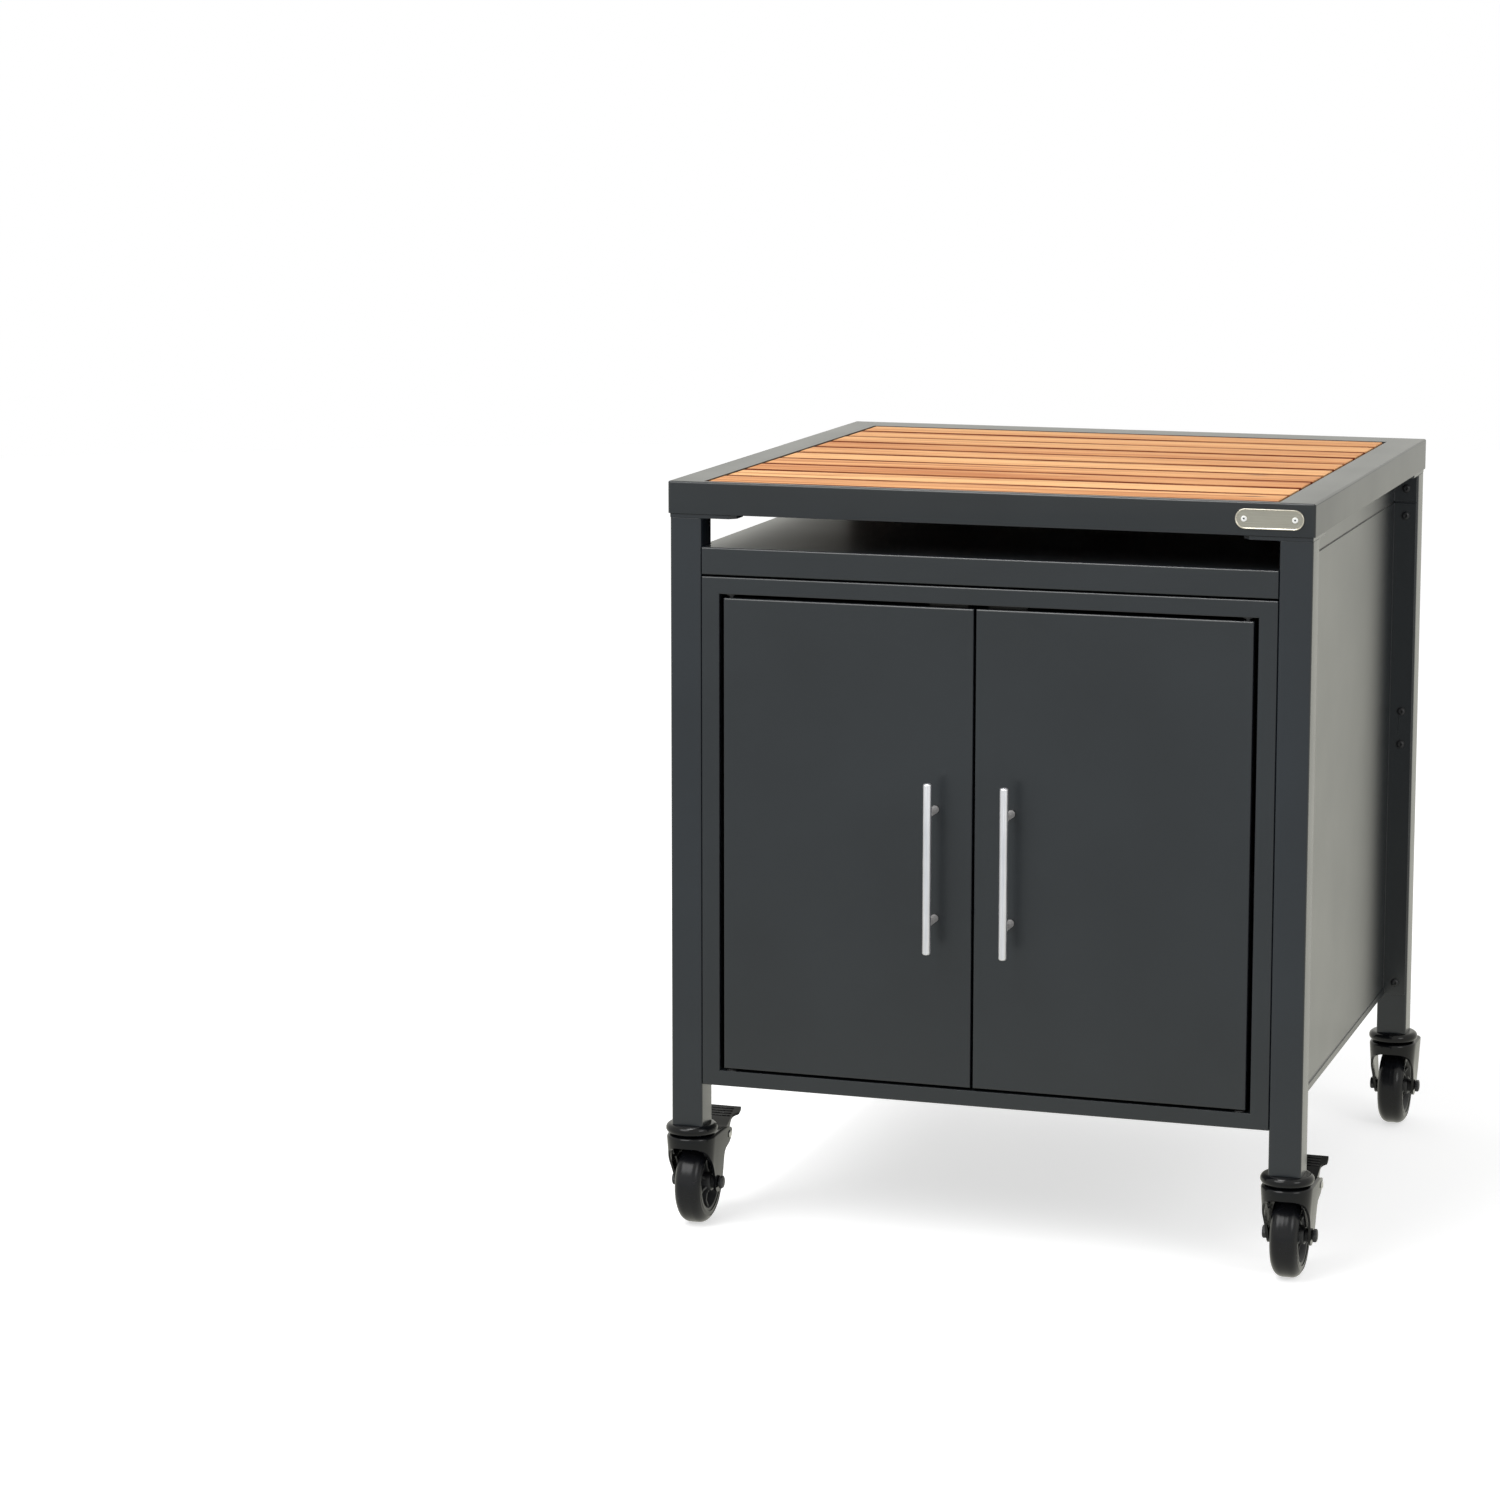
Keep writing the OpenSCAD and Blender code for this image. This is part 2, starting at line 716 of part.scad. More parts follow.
module cabinet_floor() {
    inside_x = panel_x - panel_t - seat_gap;
    inside_y = panel_y - panel_t - seat_gap;
    front_edge = leg_out_y - frame_depth - seat_gap;
    edge_z = floor_z - floor_edge_h;
    color([0.24, 0.25, 0.26]) placed() {
        translate([0, 0, floor_z - panel_t]) linear_extrude(panel_t)
            between_legs(inside_x, inside_y, front_edge);
        for (s = [-1, 1])
            translate([s * (inside_x - panel_t / 2), 0, 0])
                block(panel_t, 2 * between_y, edge_z, floor_z);
        translate([0, inside_y - panel_t / 2, 0]) block(2 * between_x, panel_t, edge_z, floor_z);
        translate([0, -front_edge + panel_t / 2, 0]) block(2 * between_x, panel_t, edge_z, floor_z);
    }
}

module inner_shelf() {
    inside_x = panel_x - panel_t - seat_gap;
    back_y = leg_in_y - seat_gap;
    shelf_front_y = door_back_y + shelf_setback;
    color([0.24, 0.25, 0.26]) placed() {
        span([-inside_x, shelf_front_y, shelf_z - panel_t], [inside_x, back_y, shelf_z]);
        span([-inside_x, shelf_front_y, shelf_z - shelf_lip],
             [inside_x, shelf_front_y + panel_t, shelf_z]);
        span([-inside_x, back_y - panel_t, shelf_z - shelf_lip], [inside_x, back_y, shelf_z]);
    }
}

module shelf_studs() {
    stud_in = 60;
    color([0.60, 0.60, 0.60]) placed()
        for (s = [-1, 1], y = [door_back_y + shelf_setback + stud_in, leg_in_y - stud_in])
            translate([s * (panel_x - panel_t - shelf_stud_len / 2), y,
                       shelf_z - panel_t - shelf_stud_r])
                along_x() cylinder(r = shelf_stud_r, h = shelf_stud_len, center = true);
}

// Magnetic catches behind the doors' free top corners; they also stop the doors
module door_catches() {
    catch_w = 46;
    catch_h = 16;
    catch_d = 14;
    catch_in = 12;
    plate = 2;
    back_y = front_y + frame_depth;
    catch_y = door_back_y + slide_gap;
    low_z = opening_top_z - catch_h;
    color([0.14, 0.14, 0.15]) placed() for (s = [-1, 1])
        translate([door_split + s * (catch_in + catch_w / 2), 0, 0]) {
            span([-catch_w / 2, catch_y, low_z], [catch_w / 2, catch_y + catch_d, opening_top_z]);
            span([-catch_w / 2, back_y, low_z], [catch_w / 2, back_y + plate, face_top_z]);
        }
}

// Doors

// Mirrors a right-hand door piece to the asked side
module on_side(side) {
    if (side == LEFT) mirror([1, 0, 0]) children();
    else children();
}

// Distances from the cabinet's middle to a door's inner edge and to its handle
function door_in_x(side) = door_gap_centre / 2 + side * door_split;
function handle_x(side) = door_in_x(side) + handle_offset;
function post_zs() = [handle_z - post_spacing / 2, handle_z + post_spacing / 2];

module door_skin(side) {
    in_x = door_in_x(side);
    color([0.24, 0.25, 0.26]) placed() on_side(side) difference() {
        span([in_x, front_y, door_low_z], [door_out_x, door_back_y, door_top_z]);
        span([in_x + door_sheet, front_y + door_sheet, door_low_z + door_sheet],
             [door_out_x - door_sheet, door_back_y + eps, door_top_z - door_sheet]);
        translate([pivot_x, pivot_y, door_low_z - eps])
            cylinder(r = pivot_r + bolt_gap, h = door_h + 2 * eps);
        for (z = post_zs())
            translate([handle_x(side), front_y - eps, z]) along_y()
                cylinder(r = handle_screw_r + bolt_gap, h = door_sheet + 2 * eps);
    }
}

module door_liner(side) {
    edge = door_sheet + seat_gap;
    color([0.24, 0.25, 0.26]) placed() on_side(side)
        span([door_in_x(side) + edge, door_back_y - liner_sheet, door_low_z + edge],
             [door_out_x - edge, door_back_y, door_top_z - edge]);
}

// Outline of half a bar's length, round at its end, turned about the bar's axis
module bar_profile(r, length, end_r) {
    square([r, length - end_r]);
    square([r - end_r, length]);
    intersection() {
        translate([r - end_r, length - end_r]) circle(end_r);
        square([r, length]);
    }
}

module handle(side) {
    end_r = 1.5;
    post_len = standoff;
    color([0.80, 0.80, 0.80]) placed() on_side(side) difference() {
        union() {
            translate([handle_x(side), handle_y, handle_z]) for (m = [0, 1]) mirror([0, 0, m])
                rotate_extrude() bar_profile(handle_r, handle_len / 2, end_r);
            for (z = post_zs())
                translate([handle_x(side), handle_y, z]) along_y()
                    cylinder(r = post_r, h = post_len);
        }
        for (z = post_zs())
            translate([handle_x(side), front_y + eps, z]) along_minus_y()
                cylinder(r = handle_screw_r + bolt_gap, h = standoff / 2 + eps);
    }
}

module handle_screws(side) {
    color([0.72, 0.72, 0.70]) placed() on_side(side) for (z = post_zs())
        translate([handle_x(side), front_y + door_sheet, z]) {
            along_y() cylinder(r = 2 * handle_screw_r, h = screw_head_t);
            along_minus_y() cylinder(r = handle_screw_r, h = door_sheet + standoff / 2 - seat_gap);
        }
}

// Top and bottom pivot pins, each on a block riveted inside the door's edge
module pivot_pins(side) {
    block_y = pivot_in - door_sheet - liner_sheet - seat_gap;
    color([0.66, 0.66, 0.66]) placed() on_side(side)
        for (low = [0, 1]) translate([pivot_x, pivot_y, low ? door_low_z : door_top_z])
            mirror([0, 0, low]) {
                span([-pivot_block_len + pivot_in - door_sheet - seat_gap, -block_y,
                      -door_sheet - pivot_block_t],
                     [pivot_in - door_sheet - seat_gap, block_y, -door_sheet]);
                translate([0, 0, -door_sheet])
                    cylinder(r = pivot_r, h = door_sheet + pivot_bite
                             + (low ? door_gap_bottom : door_gap_top));
            }
}

// Nameplate

module stadium(length, height) {
    square([length - height, height], center = true);
    for (s = [-1, 1]) translate([s * (length - height) / 2, 0]) circle(d = height);
}

module at_nameplate() {
    placed() translate([half_w - plate_from_end, -half_d, top_z - apron_h / 2])
        along_minus_y() children();
}

module nameplate() {
    color([0.72, 0.70, 0.62]) at_nameplate() difference() {
        union() {
            linear_extrude(plate_t) stadium(plate_len, plate_h);
            linear_extrude(plate_t + plate_edge_h) difference() {
                stadium(plate_len, plate_h);
                stadium(plate_len - 2 * plate_edge_w, plate_h - 2 * plate_edge_w);
            }
        }
        for (s = [-1, 1]) translate([s * rivet_spacing / 2, 0, -eps])
            cylinder(r = rivet_r + bolt_gap, h = plate_t + 2 * eps);
    }
}

module nameplate_rivets() {
    tail = 1;
    color([0.85, 0.84, 0.80]) at_nameplate() for (s = [-1, 1])
        translate([s * rivet_spacing / 2, 0, 0]) {
            translate([0, 0, -top_sheet - tail])
                cylinder(r = rivet_r, h = top_sheet + tail + plate_t);
            translate([0, 0, plate_t]) cylinder(r1 = 2 * rivet_r, r2 = 1.5 * rivet_r, h = 0.9);
        }
}

// Casters. Each piece is drawn with the swivel axis at x = y = 0 and the wheel behind it.

module at_caster(side, row) {
    placed() translate([side * leg_x, row * leg_y, 0]) children();
}

module caster_head(side, row) {
    ring_low_z = caster_h - ring_h;
    bulge = ring_h / 2;
    arc = [for (a = [-60 : 15 : 60])
           [ring_r - bulge + bulge * cos(a), ring_low_z + bulge + bulge * sin(a)]];
    color([0.08, 0.08, 0.09]) at_caster(side, row) rotate_extrude() polygon(concat(
        [[0, kingpin_low_z - rivet_t], [kingpin_r + 4, kingpin_low_z - rivet_t],
         [kingpin_r + 5, kingpin_low_z - rivet_t / 2], [kingpin_r + 5, kingpin_low_z],
         [kingpin_r, kingpin_low_z], [kingpin_r, fork_top_z + slide_gap],
         [race_r, fork_top_z + slide_gap], [race_r, ring_low_z]],
        arc,
        [[ring_r - bulge, caster_h], [stem_r, caster_h], [stem_r, caster_h + stem_len],
         [0, caster_h + stem_len]]));
}

// Side outline of the fork: from the head's front edge down to the axle and up the back
function fork_outline(brake) = concat(
    [[-fork_r - eps, fork_top_z + eps], [-fork_r - eps, fork_top_z - arch_drops[0]],
     [-fork_r / 2, fork_top_z - arch_drops[1]], [-fork_r / 10, fork_top_z - arch_drops[2]],
     [trail - axle_boss_r - 3, axle_z + axle_boss_r + 2]],
    [for (a = [180 : 15 : 345])
     [trail + axle_boss_r * cos(a), axle_z + axle_boss_r * sin(a)]],
    brake ? concat([[pedal_pin_y - 1.5 * pedal_lug_r, pedal_pin_z - 2 * pedal_lug_r]],
                   [for (a = [-60 : 30 : 60])
                    [pedal_pin_y + pedal_lug_r * cos(a), pedal_pin_z + pedal_lug_r * sin(a)]],
                   [[fork_back_y, fork_top_z - fork_sheet / 2], [fork_back_y, fork_top_z + eps]])
          : [[fork_back_y, (fork_top_z + axle_z) / 2], [fork_back_y, fork_top_z + eps]]);

// Cross-section of half the fork: the head plate, its sloped shoulder and the spreading wall
function fork_section() = let (low_z = axle_z - 2 * axle_boss_r,
                               low_r = fork_foot - fork_spread * 2 * axle_boss_r,
                               inner_top_r = low_r - fork_sheet
                                   + fork_spread * (fork_top_z - fork_sheet - low_z))
    [[0, fork_top_z - fork_sheet], [inner_top_r, fork_top_z - fork_sheet],
     [low_r - fork_sheet, low_z], [low_r, low_z], [fork_r, shoulder_z],
     [fork_r - 3, fork_top_z], [0, fork_top_z]];

module caster_fork(side, row) {
    brake = row == FRONT;
    color([0.10, 0.10, 0.11]) at_caster(side, row) difference() {
        intersection() {
            union() {
                // Round in front of the swivel axis, straight behind it
                intersection() {
                    rotate_extrude() polygon(fork_section());
                    span([-2 * fork_r, -2 * fork_r, 0], [2 * fork_r, 0, caster_h]);
                }
                translate([0, pedal_pin_y + axle_boss_r, 0]) rotate([90, 0, 0])
                    linear_extrude(pedal_pin_y + axle_boss_r) {
                        polygon(fork_section());
                        mirror([1, 0]) polygon(fork_section());
                    }
            }
            side_profile(fork_outline(brake), -2 * fork_r, 2 * fork_r);
        }
        translate([0, 0, fork_top_z - fork_sheet - eps])
            cylinder(r = kingpin_r + run_fit, h = fork_sheet + 2 * eps);
        translate([0, trail, axle_z]) along_x()
            cylinder(r = axle_r + run_fit, h = 3 * fork_r, center = true);
        if (brake)
            translate([0, pedal_pin_y, pedal_pin_z]) along_x()
                cylinder(r = pedal_pin_r + run_fit, h = 3 * fork_r, center = true);
    }
}

// Axle bolt, its nut and the two spacers beside the hub
module caster_axle(side, row) {
    hex_r = 8;
    spacer_r = axle_r + 3;
    head_x = fork_foot + fork_spread * hex_r + seat_gap;
    spacer_in = hub_half + slide_gap;
    spacer_out = fork_foot - fork_sheet - fork_spread * spacer_r - seat_gap;
    nut_t = 4.5;
    tip = 0.5;
    head_t = nut_t + tip;
    color([0.12, 0.12, 0.12]) at_caster(side, row) translate([0, trail, axle_z]) along_x() {
        translate([0, 0, -head_x]) cylinder(r = axle_r, h = 2 * head_x + nut_t + tip);
        translate([0, 0, -head_x - head_t]) cylinder(r = hex_r, h = head_t, $fn = 6);
        difference() {
            translate([0, 0, head_x]) cylinder(r = hex_r, h = nut_t, $fn = 6);
            translate([0, 0, head_x - eps]) cylinder(r = axle_r + run_fit, h = nut_t + 2 * eps);
        }
        for (s = [-1, 1]) difference() {
            translate([0, 0, s * (spacer_in + spacer_out) / 2])
                cylinder(r = spacer_r, h = spacer_out - spacer_in, center = true);
            cylinder(r = axle_r + run_fit, h = 3 * fork_r, center = true);
        }
    }
}

module wheel_hub(side, row) {
    rim_half = wheel_w / 2 - 1;
    web_half = 6;
    rim_t = 4;
    color([0.13, 0.13, 0.14]) at_caster(side, row) translate([0, trail, axle_z]) along_x()
        rotate_extrude($fn = 64) polygon([
            [axle_r + run_fit, -hub_half], [hub_boss_r, -hub_half], [hub_boss_r + 1, -web_half],
            [hub_r - rim_t - 2, -web_half], [hub_r - rim_t, -rim_half], [hub_r, -rim_half],
            [hub_r, rim_half], [hub_r - rim_t, rim_half], [hub_r - rim_t - 2, web_half],
            [hub_boss_r + 1, web_half], [hub_boss_r, hub_half], [axle_r + run_fit, hub_half]]);
}

module tyre(side, row) {
    half = wheel_w / 2;
    tread_half = 5;
    shoulder = half - tread_half;
    curve = [for (a = [90 : -10 : 0])
             [wheel_r - shoulder + shoulder * sin(a), tread_half + shoulder * cos(a)]];
    flat = [for (i = [len(curve) - 1 : -1 : 0]) [curve[i][0], -curve[i][1]]];
    bore = hub_r + run_fit;
    color([0.09, 0.09, 0.10]) at_caster(side, row) translate([0, trail, axle_z]) along_x()
        rotate_extrude($fn = 64)
            polygon(concat([[bore, -half]], flat, curve, [[bore, half]]));
}

// Side outline of the pedal's tread and arm
function pedal_outline() = [for (p = [[-4, 5], [6, 8], [20, 14], [36, 19.5], [44, 22.5],
                                      [45, 20.2], [37, 16.8], [22, 10.8], [15, 2], [6, -4]])
                            [pedal_pin_y + p[0], pedal_pin_z + p[1]]];

module brake_pedal(side) {
    shoe_turn = 50;
    shoe_half_w = 12;
    shoe_half_l = 6;
    shoe_reach = 15;
    tread_len = 60;
    flare_y = [pedal_pin_y + 24, pedal_pin_y + 33, pedal_pin_y + tread_len];
    color([0.10, 0.10, 0.11]) at_caster(side, FRONT) difference() {
        union() {
            translate([0, pedal_pin_y, pedal_pin_z]) along_x()
                cylinder(r = pedal_eye_r, h = 2 * pedal_half_in, center = true);
            // Arm and tread, wider past the fork's cheeks
            intersection() {
                side_profile(pedal_outline(), -pedal_half, pedal_half);
                linear_extrude(2 * caster_h) polygon([
                    [-pedal_half_in, 0], [pedal_half_in, 0], [pedal_half_in, flare_y[0]],
                    [pedal_half, flare_y[1]], [pedal_half, flare_y[2]],
                    [-pedal_half, flare_y[2]], [-pedal_half, flare_y[1]],
                    [-pedal_half_in, flare_y[0]]]);
            }
            // Brake shoe over the tyre
            translate([0, trail, axle_z]) rotate([shoe_turn, 0, 0])
                span([-shoe_half_w, wheel_r + shoe_clear, -shoe_half_l],
                     [shoe_half_w, wheel_r + shoe_reach, shoe_half_l]);
        }
        translate([0, pedal_pin_y, pedal_pin_z]) along_x()
            cylinder(r = pedal_pin_r + run_fit, h = 3 * fork_r, center = true);
    }
}

// The pedal's pin, riveted over outside the fork's cheeks
module brake_pin(side) {
    head_t = 1.5;
    head_r = pedal_pin_r + 1.5;
    cheek = fork_foot + fork_spread * (pedal_pin_z + head_r - axle_z) + seat_gap;
    color([0.55, 0.55, 0.55]) at_caster(side, FRONT)
        translate([0, pedal_pin_y, pedal_pin_z]) along_x() {
            cylinder(r = pedal_pin_r, h = 2 * cheek, center = true);
            for (s = [-1, 1])
                translate([0, 0, s * (cheek + head_t / 2)])
                    cylinder(r = head_r, h = head_t, center = true);
        }
}

top_frame();
wood_slats();
slat_battens();
slat_screws();
leg(LEFT, FRONT);  // leg_front_left
leg(RIGHT, FRONT);  // leg_front_right
leg(LEFT, BACK);  // leg_rear_left
leg(RIGHT, BACK);  // leg_rear_right
corner_plates();
frame_bolts();
leg_plugs();
tray_shelf();
face_frame();
side_panel_left();
side_panel_right();
slot_panel_right();
slot_panel_back();
cabinet_back();
cabinet_floor();
inner_shelf();
shelf_studs();
panel_bolts();
pivot_bushes();
door_catches();
nameplate();
nameplate_rivets();
door_skin(LEFT);  // door_skin_left
door_liner(LEFT);  // door_liner_left
handle(LEFT);  // handle_left
handle_screws(LEFT);  // handle_screws_left
pivot_pins(LEFT);  // pivot_pins_left
door_skin(RIGHT);  // door_skin_right
door_liner(RIGHT);  // door_liner_right
handle(RIGHT);  // handle_right
handle_screws(RIGHT);  // handle_screws_right
pivot_pins(RIGHT);  // pivot_pins_right
caster_head(LEFT, FRONT);  // caster_head_front_left
caster_head(RIGHT, FRONT);  // caster_head_front_right
caster_head(LEFT, BACK);  // caster_head_rear_left
caster_head(RIGHT, BACK);  // caster_head_rear_right
caster_fork(LEFT, FRONT);  // caster_fork_front_left
caster_fork(RIGHT, FRONT);  // caster_fork_front_right
caster_fork(LEFT, BACK);  // caster_fork_rear_left
caster_fork(RIGHT, BACK);  // caster_fork_rear_right
caster_axle(LEFT, FRONT);  // caster_axle_front_left
caster_axle(RIGHT, FRONT);  // caster_axle_front_right
caster_axle(LEFT, BACK);  // caster_axle_rear_left
caster_axle(RIGHT, BACK);  // caster_axle_rear_right
wheel_hub(LEFT, FRONT);  // wheel_hub_front_left
wheel_hub(RIGHT, FRONT);  // wheel_hub_front_right
wheel_hub(LEFT, BACK);  // wheel_hub_rear_left
wheel_hub(RIGHT, BACK);  // wheel_hub_rear_right
tyre(LEFT, FRONT);  // tyre_front_left
tyre(RIGHT, FRONT);  // tyre_front_right
tyre(LEFT, BACK);  // tyre_rear_left
tyre(RIGHT, BACK);  // tyre_rear_right
brake_pedal(LEFT);  // brake_pedal_left
brake_pedal(RIGHT);  // brake_pedal_right
brake_pin(LEFT);  // brake_pin_left
brake_pin(RIGHT);  // brake_pin_right
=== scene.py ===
# %% [markdown]
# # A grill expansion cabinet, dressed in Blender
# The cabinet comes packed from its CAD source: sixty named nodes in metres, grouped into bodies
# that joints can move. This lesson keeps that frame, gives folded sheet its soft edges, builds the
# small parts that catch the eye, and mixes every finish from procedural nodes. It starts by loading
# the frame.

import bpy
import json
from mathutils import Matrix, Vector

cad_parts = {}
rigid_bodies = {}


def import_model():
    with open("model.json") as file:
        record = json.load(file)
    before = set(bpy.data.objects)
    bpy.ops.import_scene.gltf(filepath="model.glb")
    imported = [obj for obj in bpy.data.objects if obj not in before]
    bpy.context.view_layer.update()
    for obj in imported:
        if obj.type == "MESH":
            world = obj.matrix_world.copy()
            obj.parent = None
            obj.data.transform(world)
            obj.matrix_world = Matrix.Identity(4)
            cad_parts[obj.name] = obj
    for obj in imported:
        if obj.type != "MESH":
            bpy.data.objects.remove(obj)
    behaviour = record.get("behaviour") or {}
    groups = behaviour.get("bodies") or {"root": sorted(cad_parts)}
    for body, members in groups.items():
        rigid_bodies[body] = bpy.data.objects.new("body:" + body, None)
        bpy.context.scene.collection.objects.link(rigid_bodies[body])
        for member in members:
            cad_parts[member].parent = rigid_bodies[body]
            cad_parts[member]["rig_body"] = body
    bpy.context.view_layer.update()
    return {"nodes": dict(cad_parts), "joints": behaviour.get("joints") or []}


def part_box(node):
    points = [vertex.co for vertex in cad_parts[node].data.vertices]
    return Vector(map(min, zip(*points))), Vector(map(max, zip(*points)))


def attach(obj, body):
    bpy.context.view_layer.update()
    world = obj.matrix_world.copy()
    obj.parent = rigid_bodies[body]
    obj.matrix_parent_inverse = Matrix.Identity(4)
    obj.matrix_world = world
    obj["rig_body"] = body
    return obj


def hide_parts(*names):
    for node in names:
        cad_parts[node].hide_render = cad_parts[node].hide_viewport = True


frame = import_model()

# %% Tools for the whole lesson
import json
from math import cos, pi, radians, sin

import bmesh
import bpy
from mathutils import Matrix, Vector

scene = bpy.context.scene
MM = 0.001
joint_place = {joint["name"]: Vector(joint["pos_m"]) for joint in frame["joints"]}
print("joints:", sorted(joint_place))

# %% [markdown]
# ## The camera
# The picture was taken with a long lens from a little above the table top, well to the right of the
# cabinet's middle. A pinhole camera was fitted to points of the frame, legs and doors. A small
# downward shift keeps the upright edges almost parallel, as a product photographer does.

# %% Camera
camera = bpy.data.objects.new("camera", bpy.data.cameras.new("camera"))
scene.collection.objects.link(camera)
scene.camera = camera
camera.location = (1.2288, -4.9839, 1.4358)
camera.rotation_euler = (radians(90 - 8.607), 0, radians(18.163))
camera.data.sensor_width = 36
camera.data.lens = 101.1
camera.data.shift_y = -1 / 15
print("camera looks down by 8.6 degrees from", tuple(camera.location))

# %% [markdown]
# ## Wiring nodes with few words
# A material is a tree of nodes. Five small helpers keep the trees readable. They add a node and
# fill its sockets, do arithmetic, map a range of values to another range, mix two colours, and
# make a noise.

# %% Node helpers
def add(tree, kind, inputs=None, **settings):
    """A new node. Its inputs take a plain value or another node's output."""
    node = tree.nodes.new("ShaderNode" + kind)
    for name, value in settings.items():
        setattr(node, name, value)
    for name, value in (inputs or {}).items():
        if isinstance(value, bpy.types.NodeSocket):
            tree.links.new(value, node.inputs[name])
        else:
            node.inputs[name].default_value = value
    return node


def calc(tree, operation, *values, clamp=False):
    node = add(tree, "Math", dict(enumerate(values)), operation=operation, use_clamp=clamp)
    return node.outputs[0]


def remap(tree, value, low, high, to_low=0.0, to_high=1.0):
    sockets = {"Value": value, "From Min": low, "From Max": high,
               "To Min": to_low, "To Max": to_high}
    return add(tree, "MapRange", sockets).outputs[0]


def mix_colour(tree, share, first, second, blend="MIX"):
    node = add(tree, "Mix", {0: share, 6: first, 7: second}, data_type="RGBA", blend_type=blend)
    return node.outputs[2]


def noise(tree, place, scale, detail=2.0, roughness=0.5, distortion=0.0):
    sockets = {"Vector": place, "Scale": scale, "Detail": detail, "Roughness": roughness,
               "Distortion": distortion}
    return add(tree, "TexNoise", sockets).outputs[0]


print("node helpers are ready")

# %% [markdown]
# ## Node groups: effects that several finishes share
# A node group is a small tool with named inputs and outputs. It is built once and placed in each
# material with that material's own values. The groups here put out only colours, masks and heights
# that change over the surface, and the shader stays in the material.

# %% A helper that opens a group
def open_group(name, inputs, outputs):
    """An empty group with its sockets, and the nodes inside that stand for them."""
    group = bpy.data.node_groups.new(name, "ShaderNodeTree")
    for label, kind, value in inputs:
        socket = group.interface.new_socket(
            label, in_out="INPUT", socket_type="NodeSocket" + kind)
        socket.default_value = value
    for label, kind in outputs:
        group.interface.new_socket(label, in_out="OUTPUT", socket_type="NodeSocket" + kind)
    given = group.nodes.new("NodeGroupInput").outputs
    result = group.nodes.new("NodeGroupOutput").inputs
    return group, given, result


def send(group, result, **sockets):
    """Links values to the group's outputs. An underscore in a name stands for a space."""
    for name, value in sockets.items():
        group.links.new(value, result[name.replace("_", " ")])
    print("group:", group.name)


SURFACE_OUT = [("Colour", "Color"), ("Roughness", "Float"), ("Height", "Float")]

# %% [markdown]
# ### Orange peel
# Powder coat melts and levels in an oven, and it keeps a fine pebbled skin of about a millimetre,
# like the skin of an orange. The tone also drifts a little over a hand's width, because the coat is
# thicker in some places. Three noises of very different size give the pebbles, a finer grit and
# the drift.

# %% Group: orange peel of a sprayed or powdered coat
peel, given, result = open_group("orange_peel", [
    ("Place", "Vector", (0, 0, 0)), ("Colour", "Color", (0.02, 0.02, 0.02, 1)),
    ("Roughness", "Float", 0.4), ("Pebble Size", "Float", 0.001), ("Drift", "Float", 0.15),
], SURFACE_OUT)
pebbles = noise(peel, given["Place"], calc(peel, "DIVIDE", 1.0, given["Pebble Size"]))
grit = noise(peel, given["Place"], calc(peel, "DIVIDE", 3.5, given["Pebble Size"]))
cloud = noise(peel, given["Place"], 7.0, detail=4.0)
tone = calc(peel, "MULTIPLY_ADD", remap(peel, cloud, 0.3, 0.7, -1, 1), given["Drift"], 1.0)
speckle = remap(peel, grit, 0.25, 0.75, 0.93, 1.07)
send(peel, result,
     Colour=add(peel, "VectorMath", {0: given["Colour"], 1: calc(peel, "MULTIPLY", tone, speckle)},
                operation="MULTIPLY").outputs[0],
     Roughness=calc(peel, "ADD", given["Roughness"], remap(peel, cloud, 0.3, 0.7, -0.04, 0.04)),
     Height=calc(peel, "MULTIPLY_ADD", grit, 0.3, pebbles))

# %% [markdown]
# ### Dust
# Outdoors, fine dust settles on whatever looks up. The group reads the surface's direction: where
# the normal points up the dust lies in thin clouds, and upright faces stay clean. It lightens the
# colour a little and takes the gloss down.

# %% Group: dust that settles on faces that look up
dust, given, result = open_group("settled_dust", [
    ("Place", "Vector", (0, 0, 0)), ("Colour", "Color", (0.02, 0.02, 0.02, 1)),
    ("Roughness", "Float", 0.4), ("Dust Colour", "Color", (0.42, 0.40, 0.36, 1)),
    ("Amount", "Float", 0.1),
], [("Colour", "Color"), ("Roughness", "Float")])
up = add(dust, "SeparateXYZ", {0: add(dust, "NewGeometry").outputs["Normal"]}).outputs[2]
drifts = remap(dust, noise(dust, given["Place"], 22.0, detail=6.0, roughness=0.65), 0.3, 0.75)
lying = calc(dust, "MULTIPLY", remap(dust, up, 0.55, 0.98), drifts)
share = calc(dust, "MULTIPLY", lying, given["Amount"])
send(dust, result,
     Colour=mix_colour(dust, share, given["Colour"], given["Dust Colour"]),
     Roughness=calc(dust, "MULTIPLY_ADD", share, 0.5, given["Roughness"]))

# %% [markdown]
# ### Brushing
# A brush drags fine scratches along steel, so the noise is stretched hard: thousands of cycles a
# metre across the strokes and only a few along them. Each scratch is a little lighter or rougher
# than the next, which spreads a highlight sideways as real brushed steel does.

